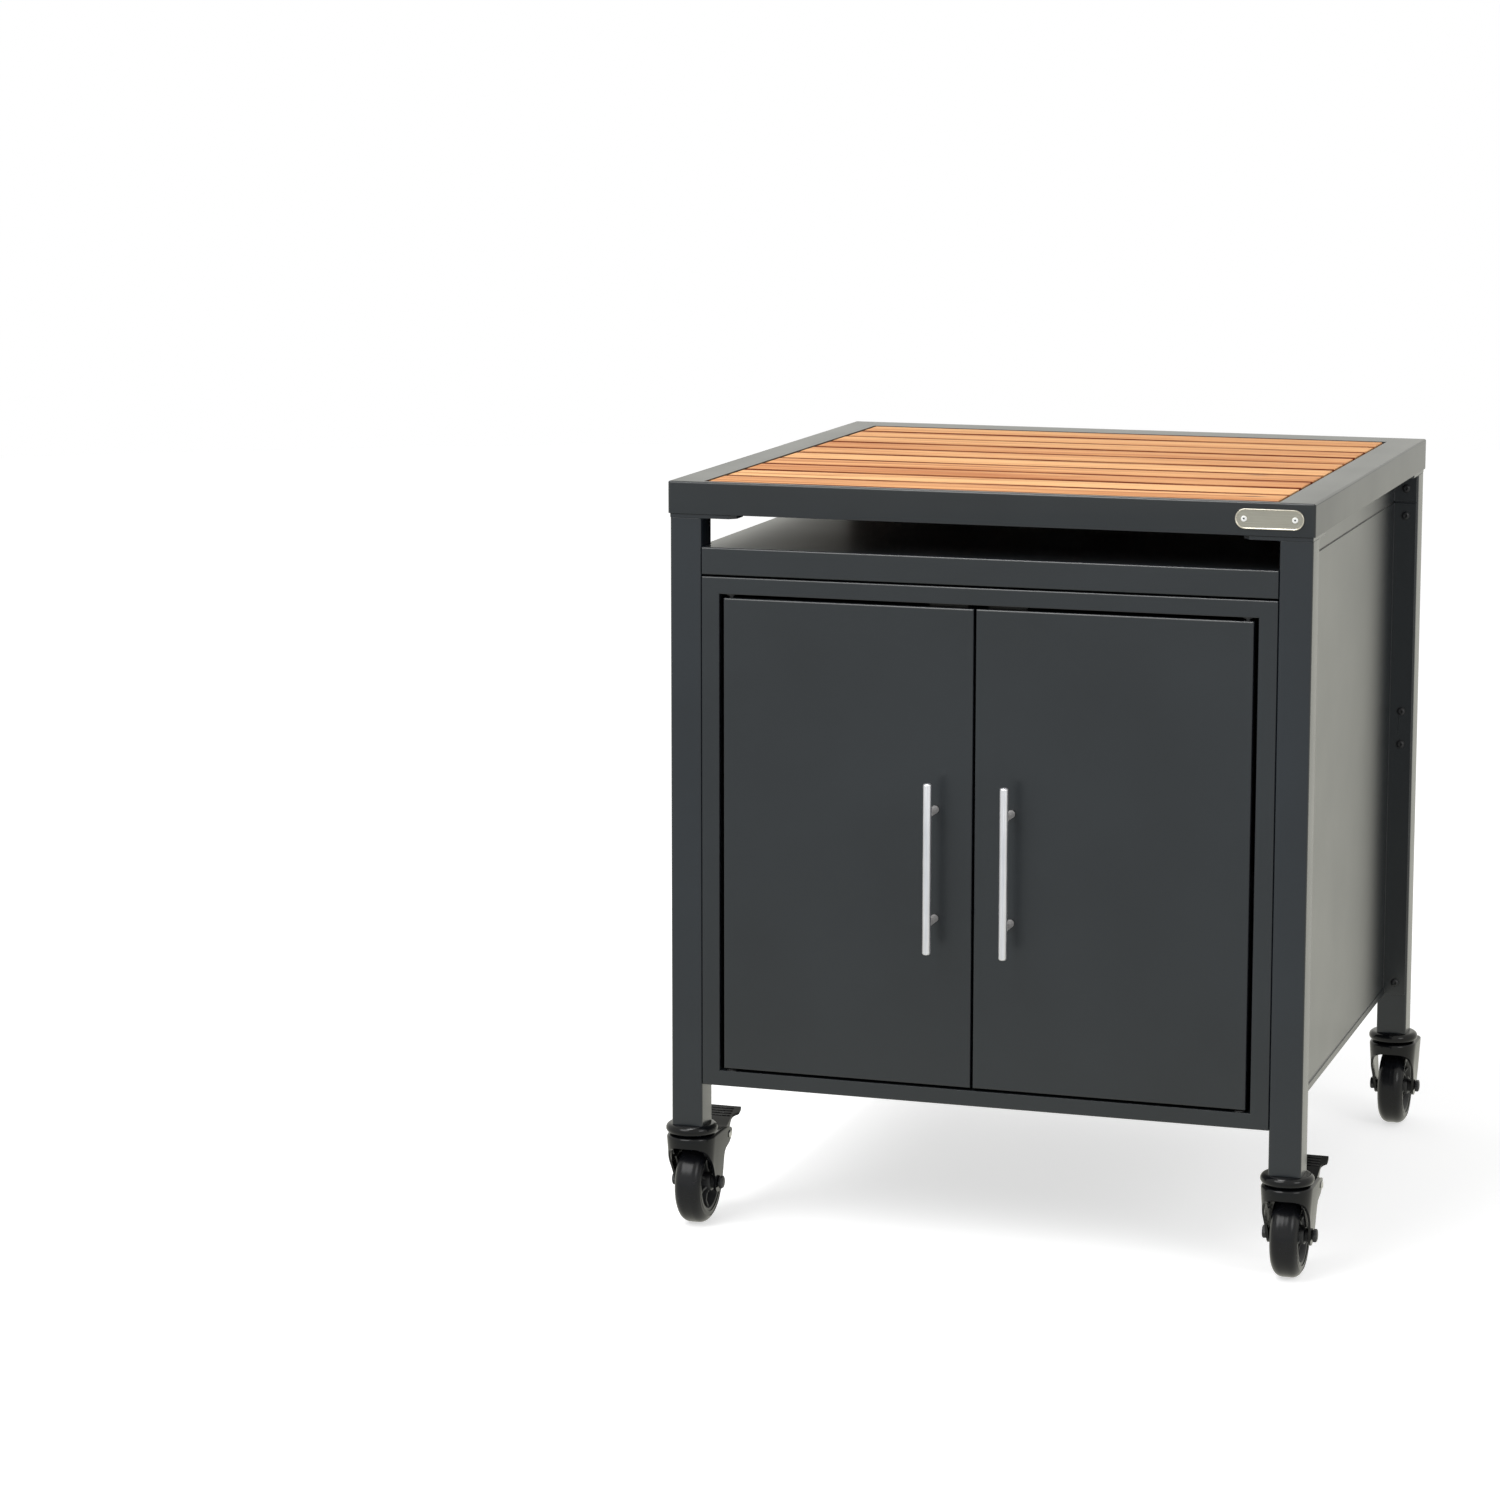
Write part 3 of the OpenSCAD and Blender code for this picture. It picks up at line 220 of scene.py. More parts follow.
# %% Group: brush strokes on steel
brushing, given, result = open_group("brush_strokes", [
    ("Place", "Vector", (0, 0, 0)), ("Stretch", "Vector", (2500, 2500, 12)),
    ("Colour", "Color", (0.6, 0.6, 0.6, 1)), ("Roughness", "Float", 0.3),
    ("Contrast", "Float", 0.15),
], SURFACE_OUT)
stretched = add(brushing, "VectorMath", {0: given["Place"], 1: given["Stretch"]},
                operation="MULTIPLY").outputs[0]
strokes = noise(brushing, stretched, 1.0, detail=3.0, roughness=0.6)
smears = noise(brushing, given["Place"], 35.0, detail=3.0)
swing = calc(brushing, "MULTIPLY", remap(brushing, strokes, 0.3, 0.7, -1, 1), given["Contrast"])
send(brushing, result,
     Colour=add(brushing, "VectorMath",
                {0: given["Colour"], 1: calc(brushing, "ADD", swing, 1.0)},
                operation="MULTIPLY").outputs[0],
     Roughness=calc(brushing, "ADD", calc(brushing, "MULTIPLY_ADD", swing, 0.6,
                                          given["Roughness"]),
                    remap(brushing, smears, 0.35, 0.7, -0.03, 0.06)),
     Height=strokes)

# %% [markdown]
# ### Wood figure
# A board shows slow bands of growth, fine dark vessels that run along it, and now and then a small
# knot. Each board comes from another place in the tree, so a number made from its position shifts
# every pattern and its overall tone. The first axis of Place runs along the grain. A broken dark
# red line is painted along the eased edges, as painted shade in every gap. Faces that look down are
# painted dark grey, as painted shade under the boards.

# %% Group: bands, vessels and board tones
figure, given, result = open_group("wood_figure", [
    ("Place", "Vector", (0, 0, 0)), ("Light", "Color", (0.8, 0.4, 0.17, 1)),
    ("Dark", "Color", (0.6, 0.26, 0.1, 1)), ("Vessel", "Color", (0.3, 0.11, 0.04, 1)),
    ("Board Start", "Float", -0.35), ("Board Pitch", "Float", 0.07), ("Edge Soil", "Float", 0.0),
], SURFACE_OUT)
along, across, depth = add(figure, "SeparateXYZ", {0: given["Place"]}).outputs[:3]
counted = calc(figure, "DIVIDE", calc(figure, "SUBTRACT", across, given["Board Start"]),
               given["Board Pitch"])
lot = add(figure, "TexWhiteNoise", {"W": calc(figure, "FLOOR", counted)}, noise_dimensions="1D")
within = calc(figure, "FRACT", counted)
from_edge = calc(figure, "MULTIPLY", given["Board Pitch"],
                 calc(figure, "MINIMUM", within, calc(figure, "SUBTRACT", 1.0, within)))


def grain_noise(along_scale, across_scale, detail, distortion=0.0):
    parts = {"X": calc(figure, "MULTIPLY_ADD", along, along_scale,
                       calc(figure, "MULTIPLY", lot.outputs[0], 37.0)),
             "Y": calc(figure, "MULTIPLY", across, across_scale),
             "Z": calc(figure, "MULTIPLY", depth, across_scale)}
    place = add(figure, "CombineXYZ", parts).outputs[0]
    return noise(figure, place, 1.0, detail, 0.55, distortion)


bands = grain_noise(2.0, 34.0, 4.0, distortion=0.9)
streaks = grain_noise(2.6, 105.0, 3.0)
fibres = grain_noise(5.0, 260.0, 4.0)
vessels = grain_noise(28.0, 900.0, 2.0)
print("four grains: bands, streaks, fibres, vessels")

# %% Group: knots, and the colours put together
knot_cells = add(figure, "TexVoronoi", {
    "Vector": add(figure, "CombineXYZ", {"X": calc(figure, "MULTIPLY", along, 2.3),
                                         "Y": calc(figure, "MULTIPLY", across, 6.5)}).outputs[0],
    "Scale": 1.0}, voronoi_dimensions="2D")
chosen = calc(figure, "GREATER_THAN", add(
    figure, "SeparateXYZ", {0: knot_cells.outputs["Color"]}).outputs[0], 0.55)
knots = calc(figure, "MULTIPLY", chosen, remap(
    figure, calc(figure, "ADD", knot_cells.outputs["Distance"],
                 remap(figure, fibres, 0.0, 1.0, -0.02, 0.02)), 0.012, 0.045, 1, 0))
board_tone = remap(figure, lot.outputs[0], 0.0, 1.0, -0.4, 0.4)
body_tone = calc(figure, "ADD", remap(figure, bands, 0.34, 0.64, 0.0, 0.8), board_tone, clamp=True)
colour = mix_colour(figure, body_tone, given["Light"], given["Dark"])
colour = mix_colour(figure, remap(figure, streaks, 0.56, 0.68, 0.0, 0.7), colour, given["Vessel"])
colour = mix_colour(figure, remap(figure, fibres, 0.5, 0.78, 0.0, 0.5), colour, given["Vessel"])
colour = mix_colour(figure, remap(figure, vessels, 0.6, 0.74, 0.0, 0.5), colour, given["Vessel"])
print("wood colours are layered")

# %% Group: painted shade at the gaps, knots and painted shade underneath
# Painted shade: a broken dark red line along each board's edges, for the shade in the gaps.
gap_shade = calc(figure, "MULTIPLY", remap(figure, from_edge, 0.005, 0.009, 1, 0),
            remap(figure, grain_noise(4.5, 9.0, 3.0), 0.34, 0.56, 0.65, 1.0))
colour = mix_colour(figure, calc(figure, "MULTIPLY", gap_shade, given["Edge Soil"]), colour,
                    (0.13, 0.022, 0.006, 1))
colour = mix_colour(figure, calc(figure, "MULTIPLY", knots, 0.7), colour, (0.12, 0.075, 0.05, 1))
# Painted shade: faces that look down turn dark grey, for the shade under the boards.
down = add(figure, "SeparateXYZ", {0: add(figure, "NewGeometry").outputs["Normal"]}).outputs[2]
send(figure, result,
     Colour=mix_colour(figure, remap(figure, down, -0.5, -0.9, 0.0, 0.9), colour,
                       (0.075, 0.078, 0.080, 1)),
     Roughness=remap(figure, vessels, 0.3, 0.75, 0.5, 0.68),
     Height=calc(figure, "ADD", calc(figure, "MULTIPLY", fibres, -0.6),
                 remap(figure, vessels, 0.6, 0.74, 0.0, -0.6)))

# %% [markdown]
# ### Moulded skin
# Plastic and rubber copy the mould they came from: a fine spark-eroded grain, plus slow marks where
# the melt flowed. The same group serves the tyre, the hub and the small black fittings.

# %% Group: skin of moulded plastic and rubber
skin, given, result = open_group("moulded_skin", [
    ("Place", "Vector", (0, 0, 0)), ("Colour", "Color", (0.03, 0.03, 0.03, 1)),
    ("Roughness", "Float", 0.5), ("Grain Size", "Float", 0.0006),
], SURFACE_OUT)
grain = noise(skin, given["Place"], calc(skin, "DIVIDE", 1.0, given["Grain Size"]), detail=3.0)
flow = noise(skin, given["Place"], 28.0, detail=4.0, roughness=0.6, distortion=1.2)
send(skin, result,
     Colour=add(skin, "VectorMath", {0: given["Colour"], 1: remap(skin, flow, 0.3, 0.7, 0.8, 1.25)},
                operation="MULTIPLY").outputs[0],
     Roughness=calc(skin, "ADD", given["Roughness"], remap(skin, flow, 0.3, 0.7, -0.07, 0.07)),
     Height=grain)

# %% [markdown]
# ## The finishes
# Every finish follows one pattern: object coordinates go into a group, a layer of dust may go
# on top, and a Bump node turns the group's height into fine relief. What is the same all over a
# surface is set on the shader's own sockets. A node's place is in its mesh, so the object
# coordinates are metres on the cabinet, and the grain keeps its size on every piece.

# %% A helper that lays a group's surface onto a material
def finish(name, group, values, relief, dust_amount=0.0, place=None, **shader_values):
    """A material with one surface group, a bump of that relief in metres, and settled dust."""
    material = bpy.data.materials.new(name)
    material.use_nodes = True
    tree = material.node_tree
    shader = tree.nodes["Principled BSDF"]
    place = place(tree) if place else add(tree, "TexCoord").outputs["Object"]
    surface = add(tree, "Group", node_tree=group)
    tree.links.new(place, surface.inputs["Place"])
    for label, value in values.items():
        surface.inputs[label].default_value = value
    colour, rough = surface.outputs["Colour"], surface.outputs["Roughness"]
    if dust_amount:
        layer = add(tree, "Group", node_tree=dust)
        for label, source in (("Place", place), ("Colour", colour), ("Roughness", rough)):
            tree.links.new(source, layer.inputs[label])
        layer.inputs["Amount"].default_value = dust_amount
        colour, rough = layer.outputs["Colour"], layer.outputs["Roughness"]
    bump = add(tree, "Bump", {"Height": surface.outputs["Height"], "Distance": relief,
                              "Strength": 1.0})
    for source, label in ((colour, "Base Color"), (rough, "Roughness"),
                          (bump.outputs[0], "Normal")):
        tree.links.new(source, shader.inputs[label])
    for label, value in shader_values.items():
        shader.inputs[label.replace("_", " ")].default_value = value
    material.diffuse_color = (*list(values.get("Colour", (0.5, 0.4, 0.3, 1)))[:3], 1)
    print("finish:", name)
    return material


# %% [markdown]
# ### Powder coat in anthracite
# Seen square on, the coat is almost black and shows only a faint sheen. Seen along the surface it
# turns pale, because every clear binder reflects more at a flat angle. So the pigment is darker
# than the photo's grey, and a clear coat over it supplies the rest through its own Fresnel. The
# legs are square tube, and they take a darker, bluer copy of the same coat: painted shade, for the
# cooler light they reflect. The top frame is less glossy than the cabinet, so its outer faces stay
# darker beside the panels.

# %% Powder coats
anthracite = finish("anthracite_coat", peel, {
    "Colour": (0.0105, 0.0138, 0.0170, 1), "Roughness": 0.38, "Pebble Size": 0.0014, "Drift": 0.12,
}, relief=0.000007, dust_amount=0.02, Specular_IOR_Level=0.2, Coat_Weight=0.88,
    Coat_Roughness=0.28)
# Painted shade: the cabinet's own coat, made darker and bluer for the light the legs reflect.
shaded_leg_coat = finish("shaded_leg_coat", peel, {
    "Colour": (0.0095, 0.0134, 0.0182, 1), "Roughness": 0.36, "Pebble Size": 0.0013, "Drift": 0.12,
}, relief=0.000007, Specular_IOR_Level=0.2, Coat_Weight=0.88, Coat_Roughness=0.26)
frame_coat = finish("frame_coat", peel, {
    "Colour": (0.0105, 0.0136, 0.0165, 1), "Roughness": 0.38, "Pebble Size": 0.0014, "Drift": 0.12,
}, relief=0.000007, dust_amount=0.04, Specular_IOR_Level=0.2, Coat_Weight=0.68,
    Coat_Roughness=0.28)

# %% [markdown]
# ### Wood
# The insert is an oiled reddish hardwood. Its gloss is low, so the shader's specular level comes
# down, otherwise the flat view along the table would wash the colour out. The battens underneath
# are weathered and unoiled, and they run the other way: a swap of two axes turns the grain.

# %% Woods
slats_low, slats_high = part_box("wood_slats")
SLAT_COUNT = 10
SLAT_GAP = 5.5 * MM
slat_pitch = (slats_high.y - slats_low.y + SLAT_GAP) / SLAT_COUNT


def along_y(tree):
    x, y, z = add(tree, "SeparateXYZ", {0: add(tree, "TexCoord").outputs["Object"]}).outputs[:3]
    return add(tree, "CombineXYZ", {"X": y, "Y": x, "Z": z}).outputs[0]


oiled_wood = finish("oiled_wood", figure, {
    "Light": (0.92, 0.52, 0.24, 1), "Dark": (0.60, 0.25, 0.10, 1), "Vessel": (0.36, 0.10, 0.03, 1),
    "Board Start": slats_low.y - SLAT_GAP / 2, "Board Pitch": slat_pitch, "Edge Soil": 1.0,
}, relief=0.00012, Specular_IOR_Level=0.06)
sawn_wood = finish("sawn_wood", figure, {
    "Light": (0.16, 0.12, 0.09, 1), "Dark": (0.10, 0.07, 0.05, 1), "Vessel": (0.06, 0.04, 0.03, 1),
    "Board Start": -1.0, "Board Pitch": 0.25,
}, relief=0.0002, place=along_y, Specular_IOR_Level=0.2)

# %% [markdown]
# ### Metals
# The handle bars are brushed along their length. Their posts are the same steel, given a duller
# copy with a pale grey colour of its own: painted reflection, for the light the posts pick up. The
# screws and pins are zinc plated, which is finely cloudy. The nameplate has a matte, slightly
# yellow field inside a polished edge, and its rivets are tumbled until they are almost white.

# %% Metals
handle_steel = finish("handle_steel", brushing, {
    "Stretch": (1800, 1800, 14), "Colour": (0.84, 0.84, 0.89, 1), "Roughness": 0.36,
    "Contrast": 0.12}, relief=0.000006, Metallic=1.0)
# Painted reflection: the posts' pale grey colour stands in for the light they pick up.
post_steel = finish("post_steel", brushing, {
    "Stretch": (900, 900, 900), "Colour": (0.46, 0.45, 0.45, 1), "Roughness": 0.5,
    "Contrast": 0.10}, relief=0.000006, Metallic=0.4)
zinc = finish("zinc_plate", brushing, {
    "Stretch": (500, 500, 500), "Colour": (0.62, 0.62, 0.60, 1), "Roughness": 0.38,
    "Contrast": 0.18}, relief=0.000008, Metallic=1.0)
plate_field = finish("plate_field", brushing, {
    "Stretch": (18, 1500, 1500), "Colour": (0.33, 0.32, 0.27, 1), "Roughness": 0.45,
    "Contrast": 0.12}, relief=0.000008, Metallic=0.3)
plate_edge = finish("plate_edge", brushing, {
    "Stretch": (900, 900, 900), "Colour": (0.66, 0.62, 0.53, 1), "Roughness": 0.3,
    "Contrast": 0.08}, relief=0.000003, Metallic=0.9)
rivet_face = finish("rivet_face", brushing, {
    "Stretch": (900, 900, 900), "Colour": (0.88, 0.88, 0.86, 1), "Roughness": 0.4,
    "Contrast": 0.05}, relief=0.000003, Metallic=0.3)

# %% [markdown]
# ### Black fittings
# The caster forks and rings carry a glossy black enamel, so they get a smooth and very dark peel.
# Bolts are blackened steel, and the hub, tyre and catches are moulded.

# %% Black fittings
enamel = finish("black_enamel", peel, {
    "Colour": (0.0025, 0.003, 0.0042, 1), "Roughness": 0.13, "Pebble Size": 0.0022, "Drift": 0.2,
}, relief=0.000003, dust_amount=0.01, Specular_IOR_Level=0.3)
black_steel = finish("black_steel", brushing, {
    "Stretch": (700, 700, 700), "Colour": (0.022, 0.023, 0.026, 1), "Roughness": 0.4,
    "Contrast": 0.2}, relief=0.00001, Metallic=0.3)
black_plastic = finish("black_plastic", skin, {
    "Colour": (0.018, 0.018, 0.019, 1), "Roughness": 0.48, "Grain Size": 0.0005}, relief=0.00002)
hub_plastic = finish("hub_plastic", skin, {
    "Colour": (0.028, 0.029, 0.031, 1), "Roughness": 0.36, "Grain Size": 0.0007}, relief=0.00001)
rubber = finish("tyre_rubber", skin, {
    "Colour": (0.007, 0.0075, 0.0095, 1), "Roughness": 0.22, "Grain Size": 0.0009},
    relief=0.000006, dust_amount=0.02, Specular_IOR_Level=0.28)

# %% [markdown]
# ## Mesh helpers
# Small parts are lofted: rings of points are laid out in space and skinned with quads. A turned
# part uses round rings, a bolt head uses six-sided ones, and a plate uses rings in the shape of its
# outline. One helper skins the rings, and another turns the finished bmesh into a piece that rides
# on its CAD body and hides the node that it stands for.

# %% Rings and lofts
def circle(radius, height, sides=48):
    """A ring of points round the Z axis."""
    return [Vector((radius * cos(2 * pi * i / sides), radius * sin(2 * pi * i / sides), height))
            for i in range(sides)]


def hexagon(flat, height, sides=48):
    """A six-sided ring, flat metres from the axis to each side, with as many points as a circle."""
    ring = []
    for i in range(sides):
        angle = 2 * pi * i / sides
        reach = flat / cos((angle % (pi / 3)) - pi / 6)
        ring.append(Vector((reach * cos(angle), reach * sin(angle), height)))
    return ring


def loft(bm, rings, place=Matrix.Identity(4), caps=(True, True)):
    """Skins rings that all have the same number of points, and closes the ends."""
    rows = [[bm.verts.new(place @ point) for point in ring] for ring in rings]
    count = len(rows[0])
    for low, high in zip(rows, rows[1:]):
        for i in range(count):
            j = (i + 1) % count
            bm.faces.new((low[i], low[j], high[j], high[i]))
    if caps[0]:
        bm.faces.new(rows[0][::-1])
    if caps[1]:
        bm.faces.new(rows[-1])


def turned(bm, profile, place, sides=48):
    """A part from the lathe: (radius, height) pairs from one end to the other."""
    loft(bm, [circle(radius, height, sides) for radius, height in profile], place)


def in_mm(pairs):
    """Pairs of millimetres, turned into metres."""
    return [(first * MM, second * MM) for first, second in pairs]


def facing(direction, place):
    """A matrix that stands the Z axis along a direction at a place."""
    turn = Vector(direction).to_track_quat("Z", "Y").to_matrix().to_4x4()
    return Matrix.Translation(place) @ turn


print("loft helpers are ready")

# %% From bmesh to a piece of the cabinet
SMOOTH_BELOW = radians(30)


def piece(name, bm, body, material, stands_for=(), bevel=0.0):
    """Turns a bmesh into a shaded object that rides on a body and may have rounded edges."""
    bmesh.ops.recalc_face_normals(bm, faces=bm.faces)
    mesh = bpy.data.meshes.new(name)
    bm.to_mesh(mesh)
    bm.free()
    piece_from_mesh(name, mesh, body, material, stands_for, bevel)


def piece_from_mesh(name, mesh, body, material, stands_for=(), bevel=0.0):
    mesh.materials.clear()
    mesh.materials.append(material)
    mesh.shade_smooth()
    mesh.set_sharp_from_angle(angle=SMOOTH_BELOW)
    obj = bpy.data.objects.new(name, mesh)
    scene.collection.objects.link(obj)
    if bevel:
        round_edges(obj, bevel)
    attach(obj, body)
    if stands_for:
        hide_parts(*stands_for)
    return obj


def round_edges(obj, width, segments=2, by_weight=False):
    bevel = obj.modifiers.new("round_edges", "BEVEL")
    bevel.width = width
    bevel.segments = segments
    bevel.limit_method = "WEIGHT" if by_weight else "ANGLE"
    bevel.angle_limit = SMOOTH_BELOW
    bevel.harden_normals = True
    bevel.use_clamp_overlap = not by_weight


print("piece helpers are ready")

# %% [markdown]
# ## Folded sheet
# Sheet steel can't fold to a perfect corner: every edge has a radius, and that radius draws the
# thin bright lines along the doors and the tray. The CAD solid has knife edges there. The helper
# copies a node's mesh, joins the flat triangles into whole faces, and bevels each hard edge. A fold
# on the front face gets the larger bending radius, and a cut edge only a broken corner. The radius
# is a bevel weight on each edge, so one modifier does both. A small hole that a post covers would
# be torn by the wide radius, so its rings are drawn together to a point first.

# %% The solids of a CAD node
TOUCHING = 0.01 * MM


def welded_copy(node):
    """A bmesh of a CAD node in which faces that meet share their vertices."""
    bm = bmesh.new()
    bm.from_mesh(frame["nodes"][node].data)
    bmesh.ops.remove_doubles(bm, verts=bm.verts, dist=TOUCHING)
    return bm


def islands(node):
    """The boxes of a node's separate solids, as (low, high) pairs."""
    bm = welded_copy(node)
    bm.verts.index_update()
    reached, boxes = set(), []
    for first in bm.verts:
        if first.index in reached:
            continue
        reached.add(first.index)
        stack, places = [first], []
        while stack:
            vert = stack.pop()
            places.append(vert.co.copy())
            for other in (edge.other_vert(vert) for edge in vert.link_edges):
                if other.index not in reached:
                    reached.add(other.index)
                    stack.append(other)
        boxes.append((Vector([min(place[i] for place in places) for i in range(3)]),
                      Vector([max(place[i] for place in places) for i in range(3)])))
    bm.free()
    return boxes


# %% A folded sheet from a CAD node
COPLANAR_BELOW = radians(0.3)
HOLE_REACH = 4 * MM


def close_holes(bm, screws):
    """Draws the rings of the holes round a node's screws together, and removes what is left."""
    for low, high in islands(screws):
        axis = (low + high) / 2
        for vert in bm.verts:
            if Vector((vert.co.x - axis.x, vert.co.z - axis.z)).length < HOLE_REACH:
                vert.co.x, vert.co.z = axis.x, axis.z
    bmesh.ops.remove_doubles(bm, verts=bm.verts, dist=TOUCHING)
    loose = [edge for edge in bm.edges if not edge.link_faces]
    bmesh.ops.delete(bm, geom=loose, context="EDGES")


def folded(node, material, fold=0.4 * MM, cut=0.4 * MM, screws=None):
    """Stands for a CAD node, with wide front folds and slightly rounded cut edges."""
    bm = welded_copy(node)
    if screws:
        close_holes(bm, screws)
    bmesh.ops.dissolve_limit(bm, angle_limit=COPLANAR_BELOW, verts=bm.verts, edges=bm.edges)
    front = min(vert.co.y for vert in bm.verts)
    weight = bm.edges.layers.float.new("bevel_weight_edge")
    for edge in bm.edges:
        if len(edge.link_faces) == 2 and edge.calc_face_angle(0) > SMOOTH_BELOW:
            in_front = all(abs(vert.co.y - front) < TOUCHING for vert in edge.verts)
            edge[weight] = 1.0 if in_front else cut / fold
    mesh = bpy.data.meshes.new(node + "_folded")
    bm.to_mesh(mesh)
    faces = len(bm.faces)
    bm.free()
    if "custom_normal" in mesh.attributes:
        mesh.attributes.remove(mesh.attributes["custom_normal"])
    body = frame["nodes"][node]["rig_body"]
    obj = piece_from_mesh(node + "_folded", mesh, body, material, (node,))
    round_edges(obj, fold, segments=3, by_weight=True)
    print(node, "has", faces, "faces before its edges are rounded")


# %% [markdown]
# ### The top frame, the tray and the cabinet
# The top frame is folded tight, so it only needs broken corners. The tray, the face frame and the
# doors have wide folds at the front. The handle posts cover the screw holes of the doors, so the
# skins close them.

# %% Dress the sheet metal
folded("top_frame", frame_coat, fold=0.5 * MM, cut=0.4 * MM)
for node in ("tray_shelf", "face_frame"):
    folded(node, anthracite, fold=1.9 * MM, cut=0.4 * MM)
for node in ("side_panel_left", "side_panel_right", "slot_panel_right", "slot_panel_back",
             "cabinet_back", "cabinet_floor", "inner_shelf"):
    folded(node, anthracite, fold=0.5 * MM, cut=0.45 * MM)
for side in ("left", "right"):
    folded("door_skin_" + side, anthracite, fold=2.1 * MM, cut=0.35 * MM,
           screws="handle_screws_" + side)
    folded("door_liner_" + side, anthracite, fold=0.4 * MM, cut=0.3 * MM)

# %% Dress the legs and their plates
for row in ("front", "rear"):
    for side in ("left", "right"):
        folded(f"leg_{row}_{side}", shaded_leg_coat)
folded("corner_plates", shaded_leg_coat, fold=0.8 * MM, cut=0.8 * MM)
for node, material, slot in (("slat_battens", sawn_wood, "wood_batten"),
                             ("door_catches", black_plastic, "black_plastic"),
                             ("shelf_studs", zinc, "zinc_screws"),
                             ("pivot_bushes", black_plastic, "black_plastic"),
                             ("pivot_pins_left", black_steel, "black_bolts"),
                             ("pivot_pins_right", black_steel, "black_bolts")):
    folded(node, material)

# %% [markdown]
# ### Nodes that keep their CAD shape
# Screws in the wood and inside the doors, and the plugs in the leg ends, have the right shape as
# they are. They only take a finish.

# %% Finish the carried-over nodes
for node, material in (("slat_screws", zinc), ("leg_plugs", black_plastic),
                       ("handle_screws_left", zinc), ("handle_screws_right", zinc)):
    carried = frame["nodes"][node]
    for material_slot in carried.material_slots:
        material_slot.material = material
    print("carried over:", node, "faces:", len(carried.data.polygons))

# %% [markdown]
# ## The slats
# Ten boards lie side by side with a gap for rain. A real board is planed with eased edges and never
# lies perfectly level with its neighbour. Each one is lofted from a rounded section, sits a few
# tenths of a millimetre lower than its CAD block, and takes its own tone from the wood group.

# %% Boards
def board_section(width, height, top_radius, low_radius, steps=5):
    """A plank's section with rounded edges, as (across, up) from the middle of its underside."""
    points = []
    for centre_x, centre_z, radius, start in (
            (width / 2 - low_radius, low_radius, low_radius, -90),
            (width / 2 - top_radius, height - top_radius, top_radius, 0),
            (-width / 2 + top_radius, height - top_radius, top_radius, 90),
            (-width / 2 + low_radius, low_radius, low_radius, 180)):
        for step in range(steps + 1):
            angle = radians(start + 90 * step / steps)
            points.append((centre_x + radius * cos(angle), centre_z + radius * sin(angle)))
    return points


SETTLE = (0.1, 0.3, 0.0, 0.2, 0.35, 0.1, 0.25, 0.0, 0.3, 0.15)
TOP_EASE, LOW_EASE = 3.0 * MM, 1.2 * MM
END_EASE, END_INSET = 0.8 * MM, 0.6 * MM
NARROWING = END_INSET / (33 * MM)
LOWER_HALF = 10 * MM
slat_width, slat_height = slat_pitch - SLAT_GAP, slats_high.z - slats_low.z
for index in range(SLAT_COUNT):
    bm = bmesh.new()
    section = board_section(slat_width, slat_height - SETTLE[index] * MM, TOP_EASE, LOW_EASE)
    middle = slats_low.y + slat_width / 2 + index * slat_pitch
    end_ring = [(across * (1 - NARROWING), up + (END_INSET if up < LOWER_HALF else -END_INSET))
                for across, up in section]
    rings = [(slats_low.x, end_ring), (slats_low.x + END_EASE, section),
             (slats_high.x - END_EASE, section), (slats_high.x, end_ring)]
    loft(bm, [[Vector((x, middle + across, slats_low.z + up)) for across, up in ring]
              for x, ring in rings])
    piece(f"slat_{index + 1}", bm, "cabinet", oiled_wood, ("wood_slats",))
print("slats are", round(slat_width / MM, 1), "mm wide")

# %% [markdown]
# ## Bolts
# Button-head bolts hold the panels' flanges, and flat heads are sunk into the corner plates. A
# plain disc gives them away up close, so each head gets its dome or its cone and a hexagon socket.
# The rings go up over the head, turn inward, change from round to six-sided, and drop into the
# socket.

# %% Bolt heads
def button_head(radius, height):
    """(radius, height) pairs of a domed head."""
    return [(radius, 0.0), (radius, 0.25 * height), (radius * 0.96, 0.45 * height),
            (radius * 0.84, 0.72 * height), (radius * 0.66, 0.93 * height)]


def flat_head(radius, height):
    """(radius, height) pairs of a cone that ends in a flat top with a broken edge."""
    return [(radius - height, 0.0), (radius - 0.3 * MM, height - 0.3 * MM),
            (radius - 0.2 * MM, height - 0.1 * MM), (radius - 0.5 * MM, height - 0.05 * MM)]


def head_with_socket(bm, place, shape, radius, height, socket):
    """A head with a hexagon socket, standing on the place's XY plane."""
    rings = [circle(r, h, 36) for r, h in (*shape(radius, height), (socket * 1.32, height))]
    rings += [hexagon(socket, height, 36), hexagon(socket, 0.35 * height, 36),
              circle(socket * 0.3, 0.25 * height, 36)]
    loft(bm, rings, place)


def bolts_for(node, shape, head_height, socket, shank, outward):
    """Replaces a node's bolts. outward tells which way the head of one bolt looks."""
    bm = bmesh.new()
    boxes = islands(node)
    for low, high in boxes:
        centre, size = (low + high) / 2, high - low
        axis = max(range(3), key=lambda i: size[i])
        way = outward(centre, axis)
        direction = Vector([way if i == axis else 0 for i in range(3)])
        head_end = high[axis] if way > 0 else low[axis]
        seat = centre.copy()
        seat[axis] = head_end - way * head_height
        radius = size[(axis + 1) % 3] / 2
        head_with_socket(bm, facing(direction, seat), shape, radius, head_height, socket)
        length = size[axis] - head_height
        turned(bm, [(shank, 0), (shank, length - 1 * MM), (shank * 0.75, length)],
               facing(-direction, seat), 20)
    piece(node + "_detailed", bm, "cabinet", black_steel, (node,))
    print(node, "holds", len(boxes), "bolts")


